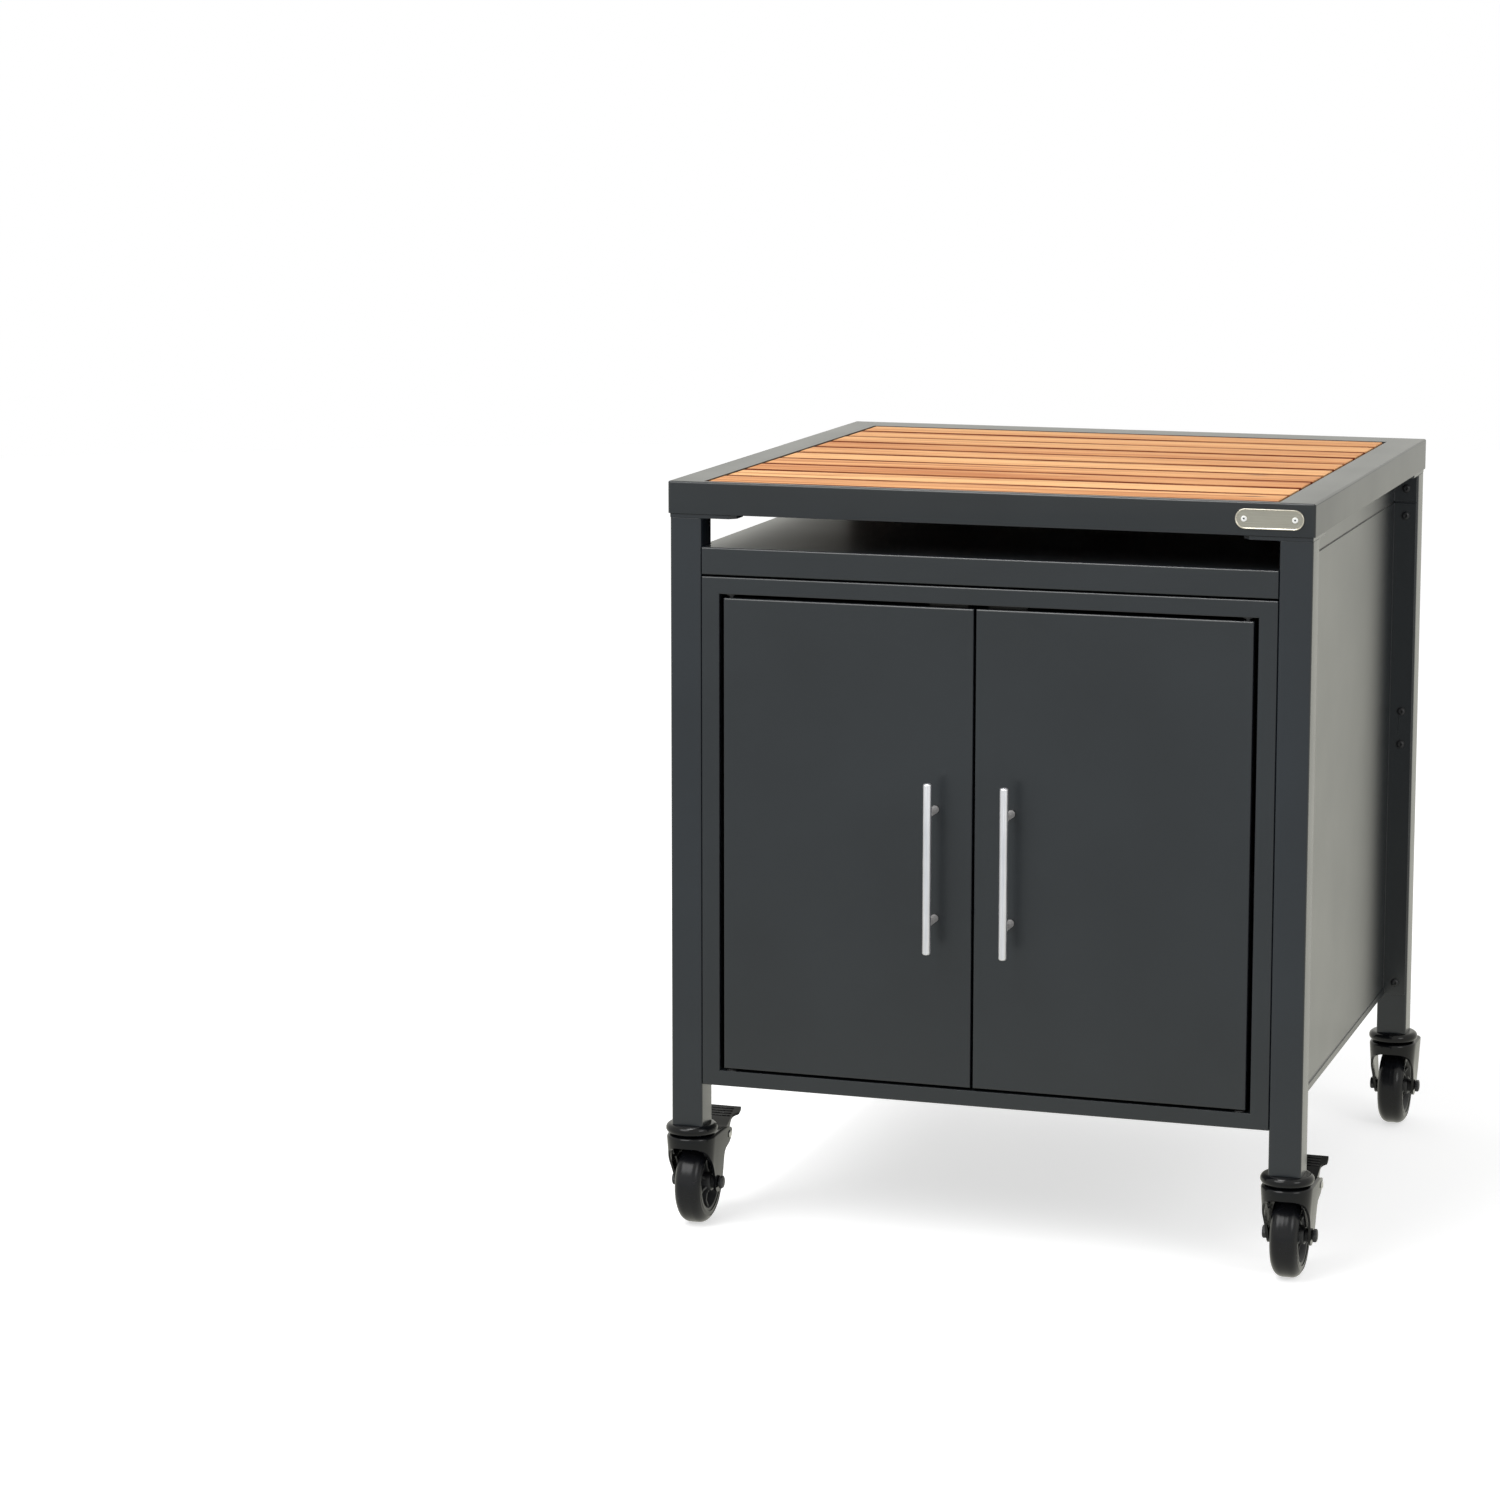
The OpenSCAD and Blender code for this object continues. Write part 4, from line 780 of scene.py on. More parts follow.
cabinet_middle = sum(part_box("top_frame"), Vector()) / 2
bolts_for("frame_bolts", flat_head, head_height=3.2 * MM, socket=2.5 * MM, shank=4 * MM,
          outward=lambda centre, axis: -1)
bolts_for("panel_bolts", button_head, head_height=3.3 * MM, socket=2.0 * MM, shank=3 * MM,
          outward=lambda centre, axis: -1 if centre[axis] > cabinet_middle[axis] else 1)

# %% [markdown]
# ## Welds
# The corner plates are welded to the legs from below. The weld is ground smooth before coating, so
# it shows as a soft hollow fillet under the apron. Its section has three corners, and the long side
# sinks inward along a quarter circle.

# %% Ground welds
def fillet(bm, corner, run, out, radius):
    """A hollow fillet under a plate, from a corner along run, reaching the way of out and down."""
    down = Vector((0, 0, -1))
    section = [Vector((0, 0, 0)), out * radius]
    section += [out * radius * (1 - sin(a)) + down * radius * (1 - cos(a))
                for a in (pi / 2 * i / 8 for i in range(1, 8))]
    section += [down * radius]
    loft(bm, [[corner + run * share + point * scale for point in section]
              for share, scale in ((0, 0.3), (0.06, 1), (0.94, 1), (1, 0.3))])


WELD_START, WELD_LENGTH = 0.06, 0.70
RADIUS_ALONG_Y, RADIUS_ALONG_X = 4.5 * MM, 3.5 * MM
bm = bmesh.new()
plate_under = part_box("corner_plates")[0].z
for row in ("front", "rear"):
    for side in ("left", "right"):
        low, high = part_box(f"leg_{row}_{side}")
        x_in, x_out = (high.x, low.x) if side == "left" else (low.x, high.x)
        y_in, y_out = (high.y, low.y) if row == "front" else (low.y, high.y)
        across, deep = Vector((x_in - x_out, 0, 0)), Vector((0, y_in - y_out, 0))
        for start, run, out, radius in (((x_in, y_out), deep, across, RADIUS_ALONG_Y),
                                        ((x_out, y_in), across, deep, RADIUS_ALONG_X)):
            corner = Vector((*start, plate_under)) + run * WELD_START
            fillet(bm, corner, run * WELD_LENGTH, out.normalized(), radius)
piece("ground_welds", bm, "cabinet", shaded_leg_coat)

# %% [markdown]
# ### Seam strips
# The panels beside and behind the tray meet in a narrow seam, which the rounded edges open to the
# light. A black strip fills it from inside as painted shade, so no daylight shows through, and from
# outside the seam stays a dark line.

# %% Strips in the tray's two seams
# Painted shade: a black strip in the seam, where there is only shade.
STRIP_IN, STRIP_OUT, END_GAP = 0.2 * MM, 1.3 * MM, 2 * MM
bm = bmesh.new()
for upper, lower, axis in (("slot_panel_right", "side_panel_right", 0),
                           ("slot_panel_back", "cabinet_back", 1)):
    inner, seam_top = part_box(upper)[0][axis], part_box(upper)[0].z
    seam_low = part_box(lower)[1].z
    start, end = (corner[1 - axis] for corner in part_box(upper))
    section = [(inner + STRIP_IN, seam_low), (inner + STRIP_OUT, seam_low),
               (inner + STRIP_OUT, seam_top), (inner + STRIP_IN, seam_top)]
    loft(bm, [[Vector((depth, along, z) if axis == 0 else (along, depth, z))
               for depth, z in section] for along in (start + END_GAP, end - END_GAP)])
piece("seam_strips", bm, "cabinet", black_plastic)
print("seam strips fill", round((seam_top - seam_low) / MM, 2), "mm")

# %% [markdown]
# ## Handles
# Each handle is a round bar with softly turned ends on two posts. The bar is lofted on the lathe
# helper with a real radius at its tips. Each post swells slightly where it meets the bar, and
# it has a small chamfer at the door, so neither joint looks pasted on.

# %% Handles
BAR_RADIUS = 5 * MM
TIP_RADIUS = 2.2 * MM
POST_RADIUS = 4.5 * MM
POST_SPACING = 128 * MM
POST_CHAMFER = 0.5 * MM
POST_SWELL = 0.5 * MM
for side in ("left", "right"):
    low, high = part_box("handle_" + side)
    middle = (low + high) / 2
    axis_y = low.y + BAR_RADIUS
    length = high.z - low.z
    bm = bmesh.new()
    arc = [(BAR_RADIUS - TIP_RADIUS * (1 - sin(radians(a))),
            length / 2 - TIP_RADIUS * (1 - cos(radians(a)))) for a in range(0, 91, 15)]
    profile = [(r, -h) for r, h in arc] + [(r, h) for r, h in reversed(arc)]
    turned(bm, profile, Matrix.Translation((middle.x, axis_y, middle.z)), 64)
    piece("handle_bar_" + side, bm, "door_" + side, handle_steel,
          ("handle_" + side,))
    bm = bmesh.new()
    reach = high.y - axis_y
    for post in (-1, 1):
        foot = Vector((middle.x, high.y, middle.z + post * POST_SPACING / 2))
        profile = [(POST_RADIUS - POST_CHAMFER, 0), (POST_RADIUS, POST_CHAMFER)]
        profile += [(POST_RADIUS + share * POST_SWELL, reach - before * MM)
                    for share, before in ((0, 7.5), (0.3, 6), (1, 5), (1, 3))]
        turned(bm, profile, facing((0, -1, 0), foot), 40)
    piece("handle_posts_" + side, bm, "door_" + side, post_steel,
          ("handle_" + side,))
    print("handle", side, "is", round(length / MM), "mm long")

# %% [markdown]
# ## Nameplate
# The plate has no marking. It is a stamped strip with round ends: a matte field inside a raised,
# polished edge, held by two tubular rivets. The edge is a ring lofted through eight outlines of the
# same shape, so its bevel is real and catches the light.

# %% Nameplate
def stadium(length, height, level, steps=14):
    """Points round a bar with half-round ends, in the XY plane."""
    radius, straight, ring = height / 2, (length - height) / 2, []
    for side, start in ((1, -90), (-1, 90)):
        for step in range(steps + 1):
            angle = radians(start + 180 * step / steps)
            ring.append(Vector((side * straight + radius * cos(angle), radius * sin(angle), level)))
    return ring


plate_low, plate_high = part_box("nameplate")
plate_length, plate_height = plate_high.x - plate_low.x, plate_high.z - plate_low.z
on_apron = facing((0, -1, 0), Vector(((plate_low.x + plate_high.x) / 2, plate_high.y,
                                      (plate_low.z + plate_high.z) / 2)))
bm = bmesh.new()
loft(bm, [stadium(plate_length - 2 * MM, plate_height - 2 * MM, level)
          for level in (0.0, 1.15 * MM)], on_apron)
piece("nameplate_field", bm, "cabinet", plate_field, ("nameplate",))
bm = bmesh.new()
edge_rings = [stadium(plate_length - 2 * inset * MM, plate_height - 2 * inset * MM, level * MM)
              for inset, level in ((0, 0), (0, 1.1), (0.25, 1.6), (0.6, 1.8), (1.1, 1.75),
                                   (1.7, 1.25), (1.9, 0.9), (1.9, 0))]
loft(bm, edge_rings, on_apron, caps=(False, False))
piece("nameplate_edge", bm, "cabinet", plate_edge, ("nameplate",))
print("plate is", round(plate_length / MM, 1), "by", round(plate_height / MM, 1), "mm")

# %% Tubular rivets
RIVET = [(1.5, -3.4), (1.5, 1.1), (3.4, 1.15), (3.4, 1.6), (3.2, 1.9), (2.8, 2.05),
         (1.4, 2.1), (1.15, 2.0), (1.0, 1.7), (0.9, 0.4), (0.2, 0.3)]
MANDREL = [(0.85, 0.6), (0.98, 1.5), (0.7, 1.75), (0.1, 1.8)]
for name, profile, material, sides in (("rivets_detailed", RIVET, rivet_face, 32),
                                       ("rivet_mandrels", MANDREL, black_steel, 24)):
    bm = bmesh.new()
    for low, high in islands("nameplate_rivets"):
        seat = Vector(((low.x + high.x) / 2, plate_high.y, (low.z + high.z) / 2))
        turned(bm, in_mm(profile), facing((0, -1, 0), seat), sides)
    piece(name, bm, "cabinet", material, ("nameplate_rivets",))

# %% [markdown]
# ## Casters
# A swivel caster is a ring under the leg, a fork that turns on it, and a wheel on an axle bolt. All
# four are alike, and the front two add a brake pedal. Every part is built under its own leg, and
# the CAD joints give the four places.

# %% Where the casters are
WHEEL_RADIUS = 50 * MM
caster_places = {}
for row in ("front", "rear"):
    for side in ("left", "right"):
        swivel = joint_place[f"swivel_{row}_{side}_turn"]
        axle = joint_place[f"wheel_{row}_{side}_spin"]
        caster_places[f"{row}_{side}"] = (Vector((swivel.x, swivel.y, 0)), axle)
TRAIL = axle.y - swivel.y
AXLE_Z = axle.z
HEAD_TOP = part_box("leg_front_left")[0].z
FORK_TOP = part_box("caster_fork_rear_left")[1].z
print("trail", round(TRAIL / MM, 1), "mm, ring top at", round(HEAD_TOP / MM, 1), "mm")

# %% [markdown]
# ### Dust ring and king pin
# The ring is pressed sheet with a rolled outer edge. Its profile has a narrow ball race below, the
# roll, a flat top that the leg stands on, and the stem that goes up into the leg. It is turned on
# the lathe helper.

# %% Rings
def ring_profile():
    """(radius, height) pairs of the ring, from the riveted king pin up to the stem."""
    roll = [(25 + 6 * cos(radians(a)), HEAD_TOP / MM - 6 + 6 * sin(radians(a)))
            for a in range(-75, 91, 15)]
    under = FORK_TOP / MM
    low = [(0.5, under - 7.3), (9, under - 7.3), (11, under - 6.6), (12, under - 5.2),
           (12, under - 3.3), (7, under - 3.3), (7, under + 0.3), (19.2, under + 0.3),
           (20, under + 0.6), (20, under + 1.1), (21.5, under + 1.5)]
    top = [(22.5, HEAD_TOP / MM), (6, HEAD_TOP / MM), (6, HEAD_TOP / MM + 23),
           (5, HEAD_TOP / MM + 24), (0.5, HEAD_TOP / MM + 24)]
    return in_mm(low + roll + top)


for name, (swivel, axle) in caster_places.items():
    bm = bmesh.new()
    turned(bm, ring_profile(), Matrix.Translation(swivel), 72)
    piece("caster_ring_" + name, bm, "cabinet", enamel, ("caster_head_" + name,))
print("four rings")

# %% [markdown]
# ### Forks
# The fork is pressed from one sheet: a round head in front that runs into two straight cheeks, with
# an arch cut through its front. Two bodies make it. The first is the full pressing, lofted from
# outlines with a round nose, outside and inside. The second is the side view as a thick slab with a
# smooth curve for the arch. A Boolean modifier keeps what they share.

# %% Curves through a few points
def smooth_path(points, steps=6):
    """A Catmull-Rom curve through (y, z) points, for outlines that were drawn with few points."""
    spline = []
    padded = [points[0], *points, points[-1]]
    for a, b, c, d in zip(padded, padded[1:], padded[2:], padded[3:]):
        for step in range(steps):
            t = step / steps
            spline.append(tuple(
                0.5 * (2 * b[i] + (c[i] - a[i]) * t
                       + (2 * a[i] - 5 * b[i] + 4 * c[i] - d[i]) * t * t
                       + (3 * b[i] - a[i] - 3 * c[i] + d[i]) * t ** 3) for i in range(2)))
    return spline + [points[-1]]


def side_slab(outline, half_width):
    """A closed slab with a (y, z) outline, standing across the X axis."""
    bm = bmesh.new()
    loft(bm, [[Vector((x, y, z)) for y, z in outline] for x in (-half_width, half_width)])
    bmesh.ops.recalc_face_normals(bm, faces=bm.faces)
    return bm


def shared_body(name, first, second):
    """The mesh that two bmeshes have in common."""
    objects = []
    for number, bm in enumerate((first, second)):
        bmesh.ops.recalc_face_normals(bm, faces=bm.faces)
        mesh = bpy.data.meshes.new(f"{name}_{number}")
        bm.to_mesh(mesh)
        bm.free()
        objects.append(bpy.data.objects.new(f"{name}_{number}", mesh))
        scene.collection.objects.link(objects[-1])
    cut = objects[0].modifiers.new("keep_shared", "BOOLEAN")
    cut.operation, cut.solver, cut.object = "INTERSECT", "EXACT", objects[1]
    bpy.context.view_layer.update()
    evaluated = objects[0].evaluated_get(bpy.context.evaluated_depsgraph_get())
    result = bpy.data.meshes.new_from_object(evaluated)
    for obj in objects:
        bpy.data.objects.remove(obj)
    print(name, "keeps", len(result.polygons), "faces")
    return result


# %% Fork pressing and its side view
def nose(radius, height, back, steps=24):
    """A plan outline with a round front of that radius and straight sides to the back."""
    front = [Vector((radius * cos(a), -radius * sin(a), height))
             for a in (pi * i / steps for i in range(steps + 1))]
    return [Vector((radius, back, height)), *front, Vector((-radius, back, height))]


FORK_SHEET = 3 * MM
HALF_AT_AXLE = 26 * MM
BELOW_AXLE = 24 * MM
BACK_OUTSIDE, BACK_INSIDE = 90 * MM, 80 * MM


def pressing():
    """The fork's full shell, before the arch is cut, and closed behind until the cut opens it."""
    shoulder = [(30.0, -3.5), (29.7, -2.2), (28.9, -1.0), (27.6, -0.25), (26.0, 0.0)]
    spread = 4 * MM / (FORK_TOP - 3.5 * MM - AXLE_Z)
    low_z = AXLE_Z - BELOW_AXLE
    outer_low = HALF_AT_AXLE - spread * BELOW_AXLE
    outside = [nose(outer_low, low_z, BACK_OUTSIDE)]
    outside += [nose(r * MM, FORK_TOP + h * MM, BACK_OUTSIDE) for r, h in shoulder]
    inner_low, ceiling = outer_low - FORK_SHEET, FORK_TOP - FORK_SHEET
    inner_top = inner_low + spread * (ceiling - low_z)
    inside = [nose(inner_top - narrower * MM, ceiling - lower * MM, BACK_INSIDE)
              for narrower, lower in ((2.5, 0), (0.6, 1), (0, 3))]
    inside += [nose(inner_low, low_z, BACK_INSIDE)]
    bm = bmesh.new()
    loft(bm, inside + outside)
    return bm


def fork_side(brake):
    """The fork's (y, z) side view: the arch in front, a round foot, and the back edge."""
    top, foot = FORK_TOP / MM, 12.0
    trail, axle = TRAIL / MM, AXLE_Z / MM
    arch = smooth_path([(-31, top - 12.5), (-25, top - 14), (-16, top - 20), (-8, top - 30),
                        (2, top - 44), (trail - foot, axle + 2)])
    heel = [(trail + foot * cos(radians(a)), axle + foot * sin(radians(a)))
            for a in range(190, 346, 10)]
    if brake:
        pin_y, pin_z = trail + 30, top - 12.5
        back = smooth_path([(trail + foot * cos(radians(350)), axle + foot * sin(radians(350))),
                            (trail + 13.5, axle + 9), (pin_y - 14, pin_z - 18),
                            (pin_y + 2, pin_z - 10), (pin_y + 9, pin_z - 1), (pin_y + 5, pin_z + 7),
                            (trail + 18, top - 1.5)], 5)
    else:
        back = [(trail + 13, axle + 8), (trail + 14, axle + 20), (trail + 14, top - 4),
                (trail + 12.5, top - 1.2)]
    return in_mm([(-31, top + 1), *arch, *heel, *back, (trail + 12, top + 1)])


# %% Forks on their swivels
fork_meshes = {brake: shared_body("fork", pressing(), side_slab(fork_side(brake), 60 * MM))
               for brake in (True, False)}
for name, (swivel, axle) in caster_places.items():
    mesh = fork_meshes[name.startswith("front")].copy()
    mesh.transform(Matrix.Translation(swivel))
    piece_from_mesh("fork_pressed_" + name, mesh, "swivel_" + name, enamel,
                    ("caster_fork_" + name,), bevel=0.6 * MM)
print("four forks")

# %% [markdown]
# ### Axle bolt
# A hexagon bolt runs through the fork and the hub. The head and the lock nut have the turned
# chamfer that every forged hexagon has, and a spacer keeps the hub off each cheek. Rings that start
# round, become six-sided and end round draw that chamfer.

# %% Axle bolts
def hexagon_body(bm, place, flat, height, bore=0.0):
    """A bolt head or nut with chamfered ends, standing on the place's XY plane."""
    step = min(0.8 * MM, height / 4)
    rings = [circle(flat * 0.95, 0), hexagon(flat, step), hexagon(flat, height - step),
             circle(flat * 0.96, height)]
    if bore:
        rings += [circle(bore, height), circle(bore * 0.9, height - step)]
    loft(bm, rings, place)


RIGHT, LEFT = Vector((1, 0, 0)), Vector((-1, 0, 0))
BOLT_RADIUS, HEX_FLAT, HEAD_HEIGHT, NUT_HEIGHT = 5 * MM, 6.9 * MM, 5 * MM, 4.5 * MM
SPACER_RADIUS, SPACER_START, SPACER_LENGTH = 8 * MM, 18.3 * MM, 3.8 * MM
for name, (swivel, axle) in caster_places.items():
    low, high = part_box("caster_axle_" + name)
    bm = bmesh.new()
    cheek = high.x - axle.x - HEAD_HEIGHT
    turned(bm, [(BOLT_RADIUS - 1 * MM, low.x - axle.x + 2 * MM),
                (BOLT_RADIUS, low.x - axle.x + 3 * MM),
                (BOLT_RADIUS, high.x - axle.x - 0.8 * MM),
                (BOLT_RADIUS - 0.8 * MM, high.x - axle.x)], facing(RIGHT, axle), 32)
    hexagon_body(bm, facing(RIGHT, axle + RIGHT * cheek), HEX_FLAT, NUT_HEIGHT,
                 bore=BOLT_RADIUS + 0.2 * MM)
    hexagon_body(bm, facing(LEFT, axle + LEFT * cheek), HEX_FLAT, HEAD_HEIGHT)
    for way in (LEFT, RIGHT):
        turned(bm, [(SPACER_RADIUS, 0), (SPACER_RADIUS, SPACER_LENGTH)],
               facing(way, axle + way * SPACER_START), 32)
    piece("axle_bolt_" + name, bm, "swivel_" + name, black_steel,
          ("caster_axle_" + name,))
print("four axle bolts")

# %% [markdown]
# ### Hub
# The hub is injection moulded: a rim that carries the tyre, a thin web, ribs that stiffen it, and a
# boss round the bearing. The rim, web and boss are one turned ring. Six tapered ribs stand on each
# side of the web.

# %% Hub
def ring_loft(bm, profile, place, sides=96):
    """A turned ring that closes on itself, from a closed (radius, height) profile."""
    rings = [circle(radius, height, sides) for radius, height in [*profile, profile[0]]]
    loft(bm, rings, place, caps=(False, False))
    bmesh.ops.remove_doubles(bm, verts=bm.verts, dist=0.001 * MM)


HUB = [(5.05, -18), (9.5, -18), (10.8, -17.2), (11.3, -15), (12, -4), (29, -3), (31.5, -13),
       (32.2, -14.8), (33.4, -15), (36, -15), (36, 15), (33.4, 15), (32.2, 14.8), (31.5, 13),
       (29, 3), (12, 4), (11.3, 15), (10.8, 17.2), (9.5, 18), (5.05, 18)]
RIB = [(10.5, 14, 1.6), (16, 11, 1.3), (24, 10, 1.3), (32.5, 13, 1.8)]


def add_ribs(bm, place):
    """Six ribs on each side of the web. RIB lists (radius, top, half thickness) along one rib."""
    for side in (-1, 1):
        for index in range(6):
            turn = Matrix.Rotation(pi * index / 3 + pi / 6 * (side > 0), 4, "Z")
            rings = [[Vector((radius * MM, y * half * MM, side * z * MM))
                      for y, z in ((-1.25, 2), (1.25, 2), (1, top - 0.6), (0.6, top),
                                   (-0.6, top), (-1, top - 0.6))]
                     for radius, top, half in RIB]
            loft(bm, rings, place @ turn)


for name, (swivel, axle) in caster_places.items():
    bm = bmesh.new()
    place = facing((1, 0, 0), axle)
    ring_loft(bm, in_mm(HUB), place)
    add_ribs(bm, place)
    piece("hub_moulded_" + name, bm, "wheel_" + name, hub_plastic,
          ("wheel_hub_" + name,))
print("four hubs")

# %% [markdown]
# ### Tyre
# The tyre is black rubber with a round tread. The mould leaves a fine parting line round the middle
# and two shallow steps on each sidewall. They are a fraction of a millimetre high, and they are
# what tells rubber from a plain torus.

# %% Tyre
def tyre_profile():
    """Half of the section is drawn and mirrored, from the bead over the sidewall to the tread."""
    half = [(36.05, 16), (38, 16), (38.4, 15.6), (41.5, 15.4), (42, 15.9), (43.0, 15.3)]
    half += [(38.98 + 11 * sin(radians(a)), 5 + 11 * cos(radians(a))) for a in range(32, 91, 8)]
    half += [(49.98, 4.0), (49.94, 0.35), (49.98, 0.0)]
    return half + [(r, -h) for r, h in reversed(half[:-1])]


for name, (swivel, axle) in caster_places.items():
    bm = bmesh.new()
    ring_loft(bm, in_mm(tyre_profile()), facing((1, 0, 0), axle), 128)
    piece("tyre_moulded_" + name, bm, "wheel_" + name, rubber, ("tyre_" + name,))
print("tyre radius", WHEEL_RADIUS / MM, "mm")

# %% [markdown]
# ### Brake pedals
# A front wheel is locked by a pressed pedal behind the leg. It turns on a pin through the fork, has
# a flared tread with anti-slip ribs, and presses a toothed shoe on the tyre. The pressing is a U
# whose two sides reach forward inside the fork beside the wheel. Near the pin they are the pedal's
# flanges, and further forward they are dark sheets put in as painted shade, which close the view
# beside the wheel. The arm and tread are again the shared body of a side view and a plan view.

# %% Pedal bodies
def pedal_side():
    """(y, z) outline of the sheet from the pin to the lip of the tread, round the pin."""
    upper = smooth_path([(-4, 5), (1, 7), (6, 8.5), (20, 14), (36, 19.5), (44, 22.5)], 5)
    lower = smooth_path([(45, 20.2), (37, 16.8), (22, 10.8), (15, 2.5), (6, -4)], 5)
    return in_mm(upper + lower)


def pedal_plan():
    """Seen from above: straight between the cheeks, then flared, with round corners."""
    half = [(24, -10), (24, 24), (24.5, 27), (26.5, 30), (29.3, 32.4), (30, 34), (30, 41.5),
            (29.4, 43.8), (27.5, 45)]
    ring = [(x * MM, y * MM) for x, y in half] + [(-x * MM, y * MM) for x, y in reversed(half)]
    bm = bmesh.new()
    loft(bm, [[Vector((x, y, z)) for x, y in ring] for z in (-20 * MM, 40 * MM)])
    return bm


pedal_mesh = shared_body("pedal", side_slab(pedal_side(), 40 * MM), pedal_plan())


def pedal_details(bm):
    """The eye, the tread's ribs and the lever's side plates, measured from the pin's axis."""
    across = Matrix.Rotation(pi / 2, 4, "Y")
    loft(bm, [circle(5.5 * MM, h * MM, 40) for h in (-24, 24)], across)
    for y, z in ((24, 15.35), (29, 17.1), (34, 18.8), (39, 20.6)):
        rings = [[Vector((x * MM, (y + 1.1 * size * cos(a)) * MM, (z + 0.9 * size * sin(a)) * MM))
                  for a in (2 * pi * i / 12 for i in range(12))]
                 for x, size in ((-22, 0.5), (-21, 1), (21, 1), (22, 0.5))]
        loft(bm, rings)
    # Painted shade: the lever's side plates reach forward beside the wheel as dark sheets.
    lever = smooth_path([(-66, -5), (-65, -11), (-56, -18), (-48, -30), (-40, -40), (-26, -41),
                         (-18, -38), (-14, -20), (3, -8)], 4) + [(4, -3), (-4, 3)]
    for outer in (-21, 21):
        loft(bm, [[Vector((x * MM, y * MM, z * MM)) for y, z in lever]
                  for x in (outer, outer * 19 / 21)])


# %% Pedals on their pins
for side in ("left", "right"):
    pin = joint_place[f"pedal_{side}_press"]
    swivel, axle = caster_places["front_" + side]
    bm = bmesh.new()
    bm.from_mesh(pedal_mesh)
    pedal_details(bm)
    bmesh.ops.transform(bm, matrix=Matrix.Translation(pin), verts=bm.verts)
    shoe = Matrix.Translation(axle) @ Matrix.Rotation(radians(50), 4, "X")
    teeth = [(-6, 15), (6, 15)] + [(6 - 1.5 * i, 3.3 + 0.8 * (i % 2)) for i in range(9)]
    loft(bm, [[shoe @ Vector((x * MM, WHEEL_RADIUS + reach * MM, y * MM)) for y, reach in teeth]
              for x in (-12, 12)])
    piece("pedal_pressed_" + side, bm, "pedal_" + side, enamel,
          ("brake_pedal_" + side,), bevel=0.4 * MM)
    low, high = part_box("brake_pin_" + side)
    bm = bmesh.new()
    half = (high.x - low.x) / 2 / MM
    profile = [(0.5, -half), (2.6, -half), (4.0, -half + 0.5), (4.5, -half + 1.1),
               (4.5, -half + 1.5), (3, -half + 1.5)]
    profile += [(r, -h) for r, h in reversed(profile)]
    turned(bm, in_mm(profile), facing((1, 0, 0), pin), 32)
    piece("pin_riveted_" + side, bm, "swivel_front_" + side, zinc,
          ("brake_pin_" + side,))
    print("pedal", side, "turns on a pin at", tuple(round(v, 4) for v in pin))

# %% [markdown]
# ## Floor, world and lamps
# The studio is plain: a pale floor that keeps the shadow, a white surround, and soft lamps. Diffuse
# surfaces get a plain level of light, so a colour renders about as it is written. Camera and
# transmission rays see the surround at full white. Glossy rays see a white floor at the sides and
# behind, which gives the pale sheen on faces seen at a flat angle. They see it cooler and darker in
# front, and the surround brighter above the horizon, so that the top's rim is its palest face.

# %% Floor
FLOOR_RADIUS = 9.0
bm = bmesh.new()
loft(bm, [circle(FLOOR_RADIUS, level, 64) for level in (-0.02, -0.0002)])
floor_mesh = bpy.data.meshes.new("floor")
bm.to_mesh(floor_mesh)
bm.free()
floor = bpy.data.objects.new("floor", floor_mesh)
scene.collection.objects.link(floor)
floor_paint = bpy.data.materials.new("floor_paint")
floor_paint.use_nodes = True
tree = floor_paint.node_tree
shader = tree.nodes["Principled BSDF"]
shader.inputs["Base Color"].default_value = (0.82, 0.82, 0.82, 1)
shader.inputs["Roughness"].default_value = 0.85
shader.inputs["Specular IOR Level"].default_value = 0.1
rays = add(tree, "LightPath").outputs
glow = add(tree, "Emission", {"Strength": 0.6})
lit = add(tree, "AddShader", {0: shader.outputs[0], 1: glow.outputs[0]})
plain = add(tree, "MixShader", {0: rays["Is Camera Ray"], 1: shader.outputs[0], 2: lit.outputs[0]})
forward = add(tree, "SeparateXYZ", {0: add(tree, "TexCoord").outputs["Object"]}).outputs[1]
ahead = remap(tree, forward, -0.5, -2.5)
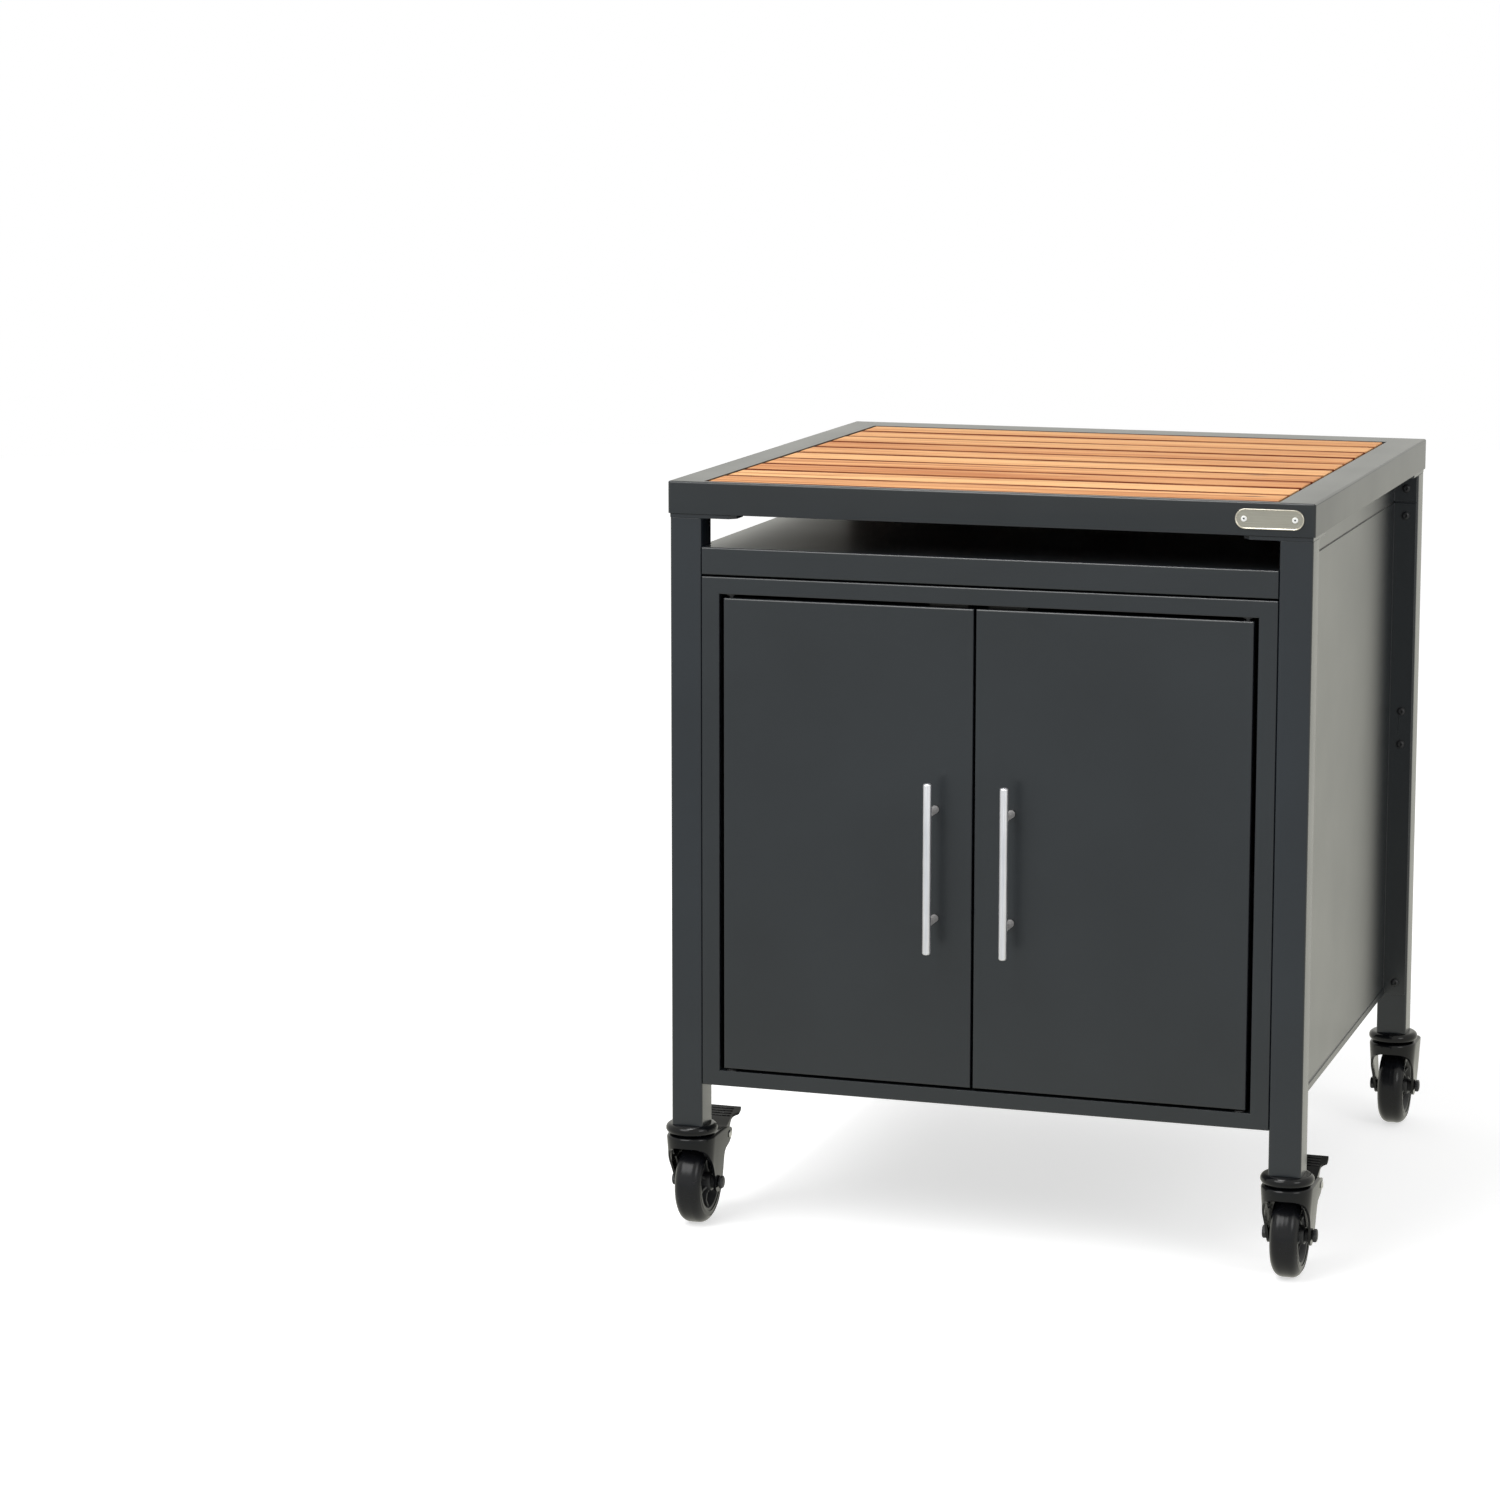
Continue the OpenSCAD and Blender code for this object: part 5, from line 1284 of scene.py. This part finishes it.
tint = mix_colour(tree, ahead, (1.0, 0.995, 0.89, 1), (0.90, 0.965, 1.0, 1))
mirrored = add(tree, "Emission", {"Color": tint, "Strength": remap(tree, ahead, 0, 1, 0.82, 0.66)})
choice = add(tree, "MixShader", {0: rays["Is Glossy Ray"], 1: plain.outputs[0],
                                 2: mirrored.outputs[0]})
tree.links.new(choice.outputs[0], tree.nodes["Material Output"].inputs["Surface"])
floor_mesh.materials.append(floor_paint)
print("floor is", 2 * FLOOR_RADIUS, "m across")

# %% World
world = bpy.data.worlds.new("studio")
scene.world = world
world.use_nodes = True
tree = world.node_tree
rays = add(tree, "LightPath").outputs
height = add(tree, "SeparateXYZ", {0: add(tree, "TexCoord").outputs["Generated"]}).outputs[2]
seen = calc(tree, "MAXIMUM", rays["Is Camera Ray"], rays["Is Transmission Ray"])
strength = add(tree, "Mix", {0: rays["Is Glossy Ray"], 2: remap(tree, seen, 0, 1, 0.5, 1.0),
                             3: remap(tree, height, 0.0, 0.08, 0.8, 0.9)}).outputs[0]
surround = tree.nodes["Background"]
tree.links.new(mix_colour(tree, rays["Is Glossy Ray"], (1, 1, 1, 1), (1.0, 0.995, 0.93, 1)),
               surround.inputs["Color"])
tree.links.new(strength, surround.inputs["Strength"])
print("world is white, at 0.5 for diffuse light")

# %% Lamps
def soft_lamp(name, place, aim, size, energy):
    lamp = bpy.data.objects.new(name, bpy.data.lights.new(name, "AREA"))
    lamp.data.shape = "DISK"
    lamp.data.size = size
    lamp.data.energy = energy
    lamp.location = place
    lamp.rotation_euler = (Vector(aim) - Vector(place)).to_track_quat("-Z", "Y").to_euler()
    scene.collection.objects.link(lamp)
    print("lamp", name, energy, "W")


soft_lamp("key", (-1.6, -3.2, 3.6), (0, 0, 0.5), 3.0, 90)
soft_lamp("fill", (3.2, -2.2, 2.2), (0.2, 0, 0.5), 1.8, 25)
soft_lamp("above", (-0.5, -1.0, 3.4), (0, 0, 0.9), 1.0, 30)
scene.view_settings.view_transform = "Standard"
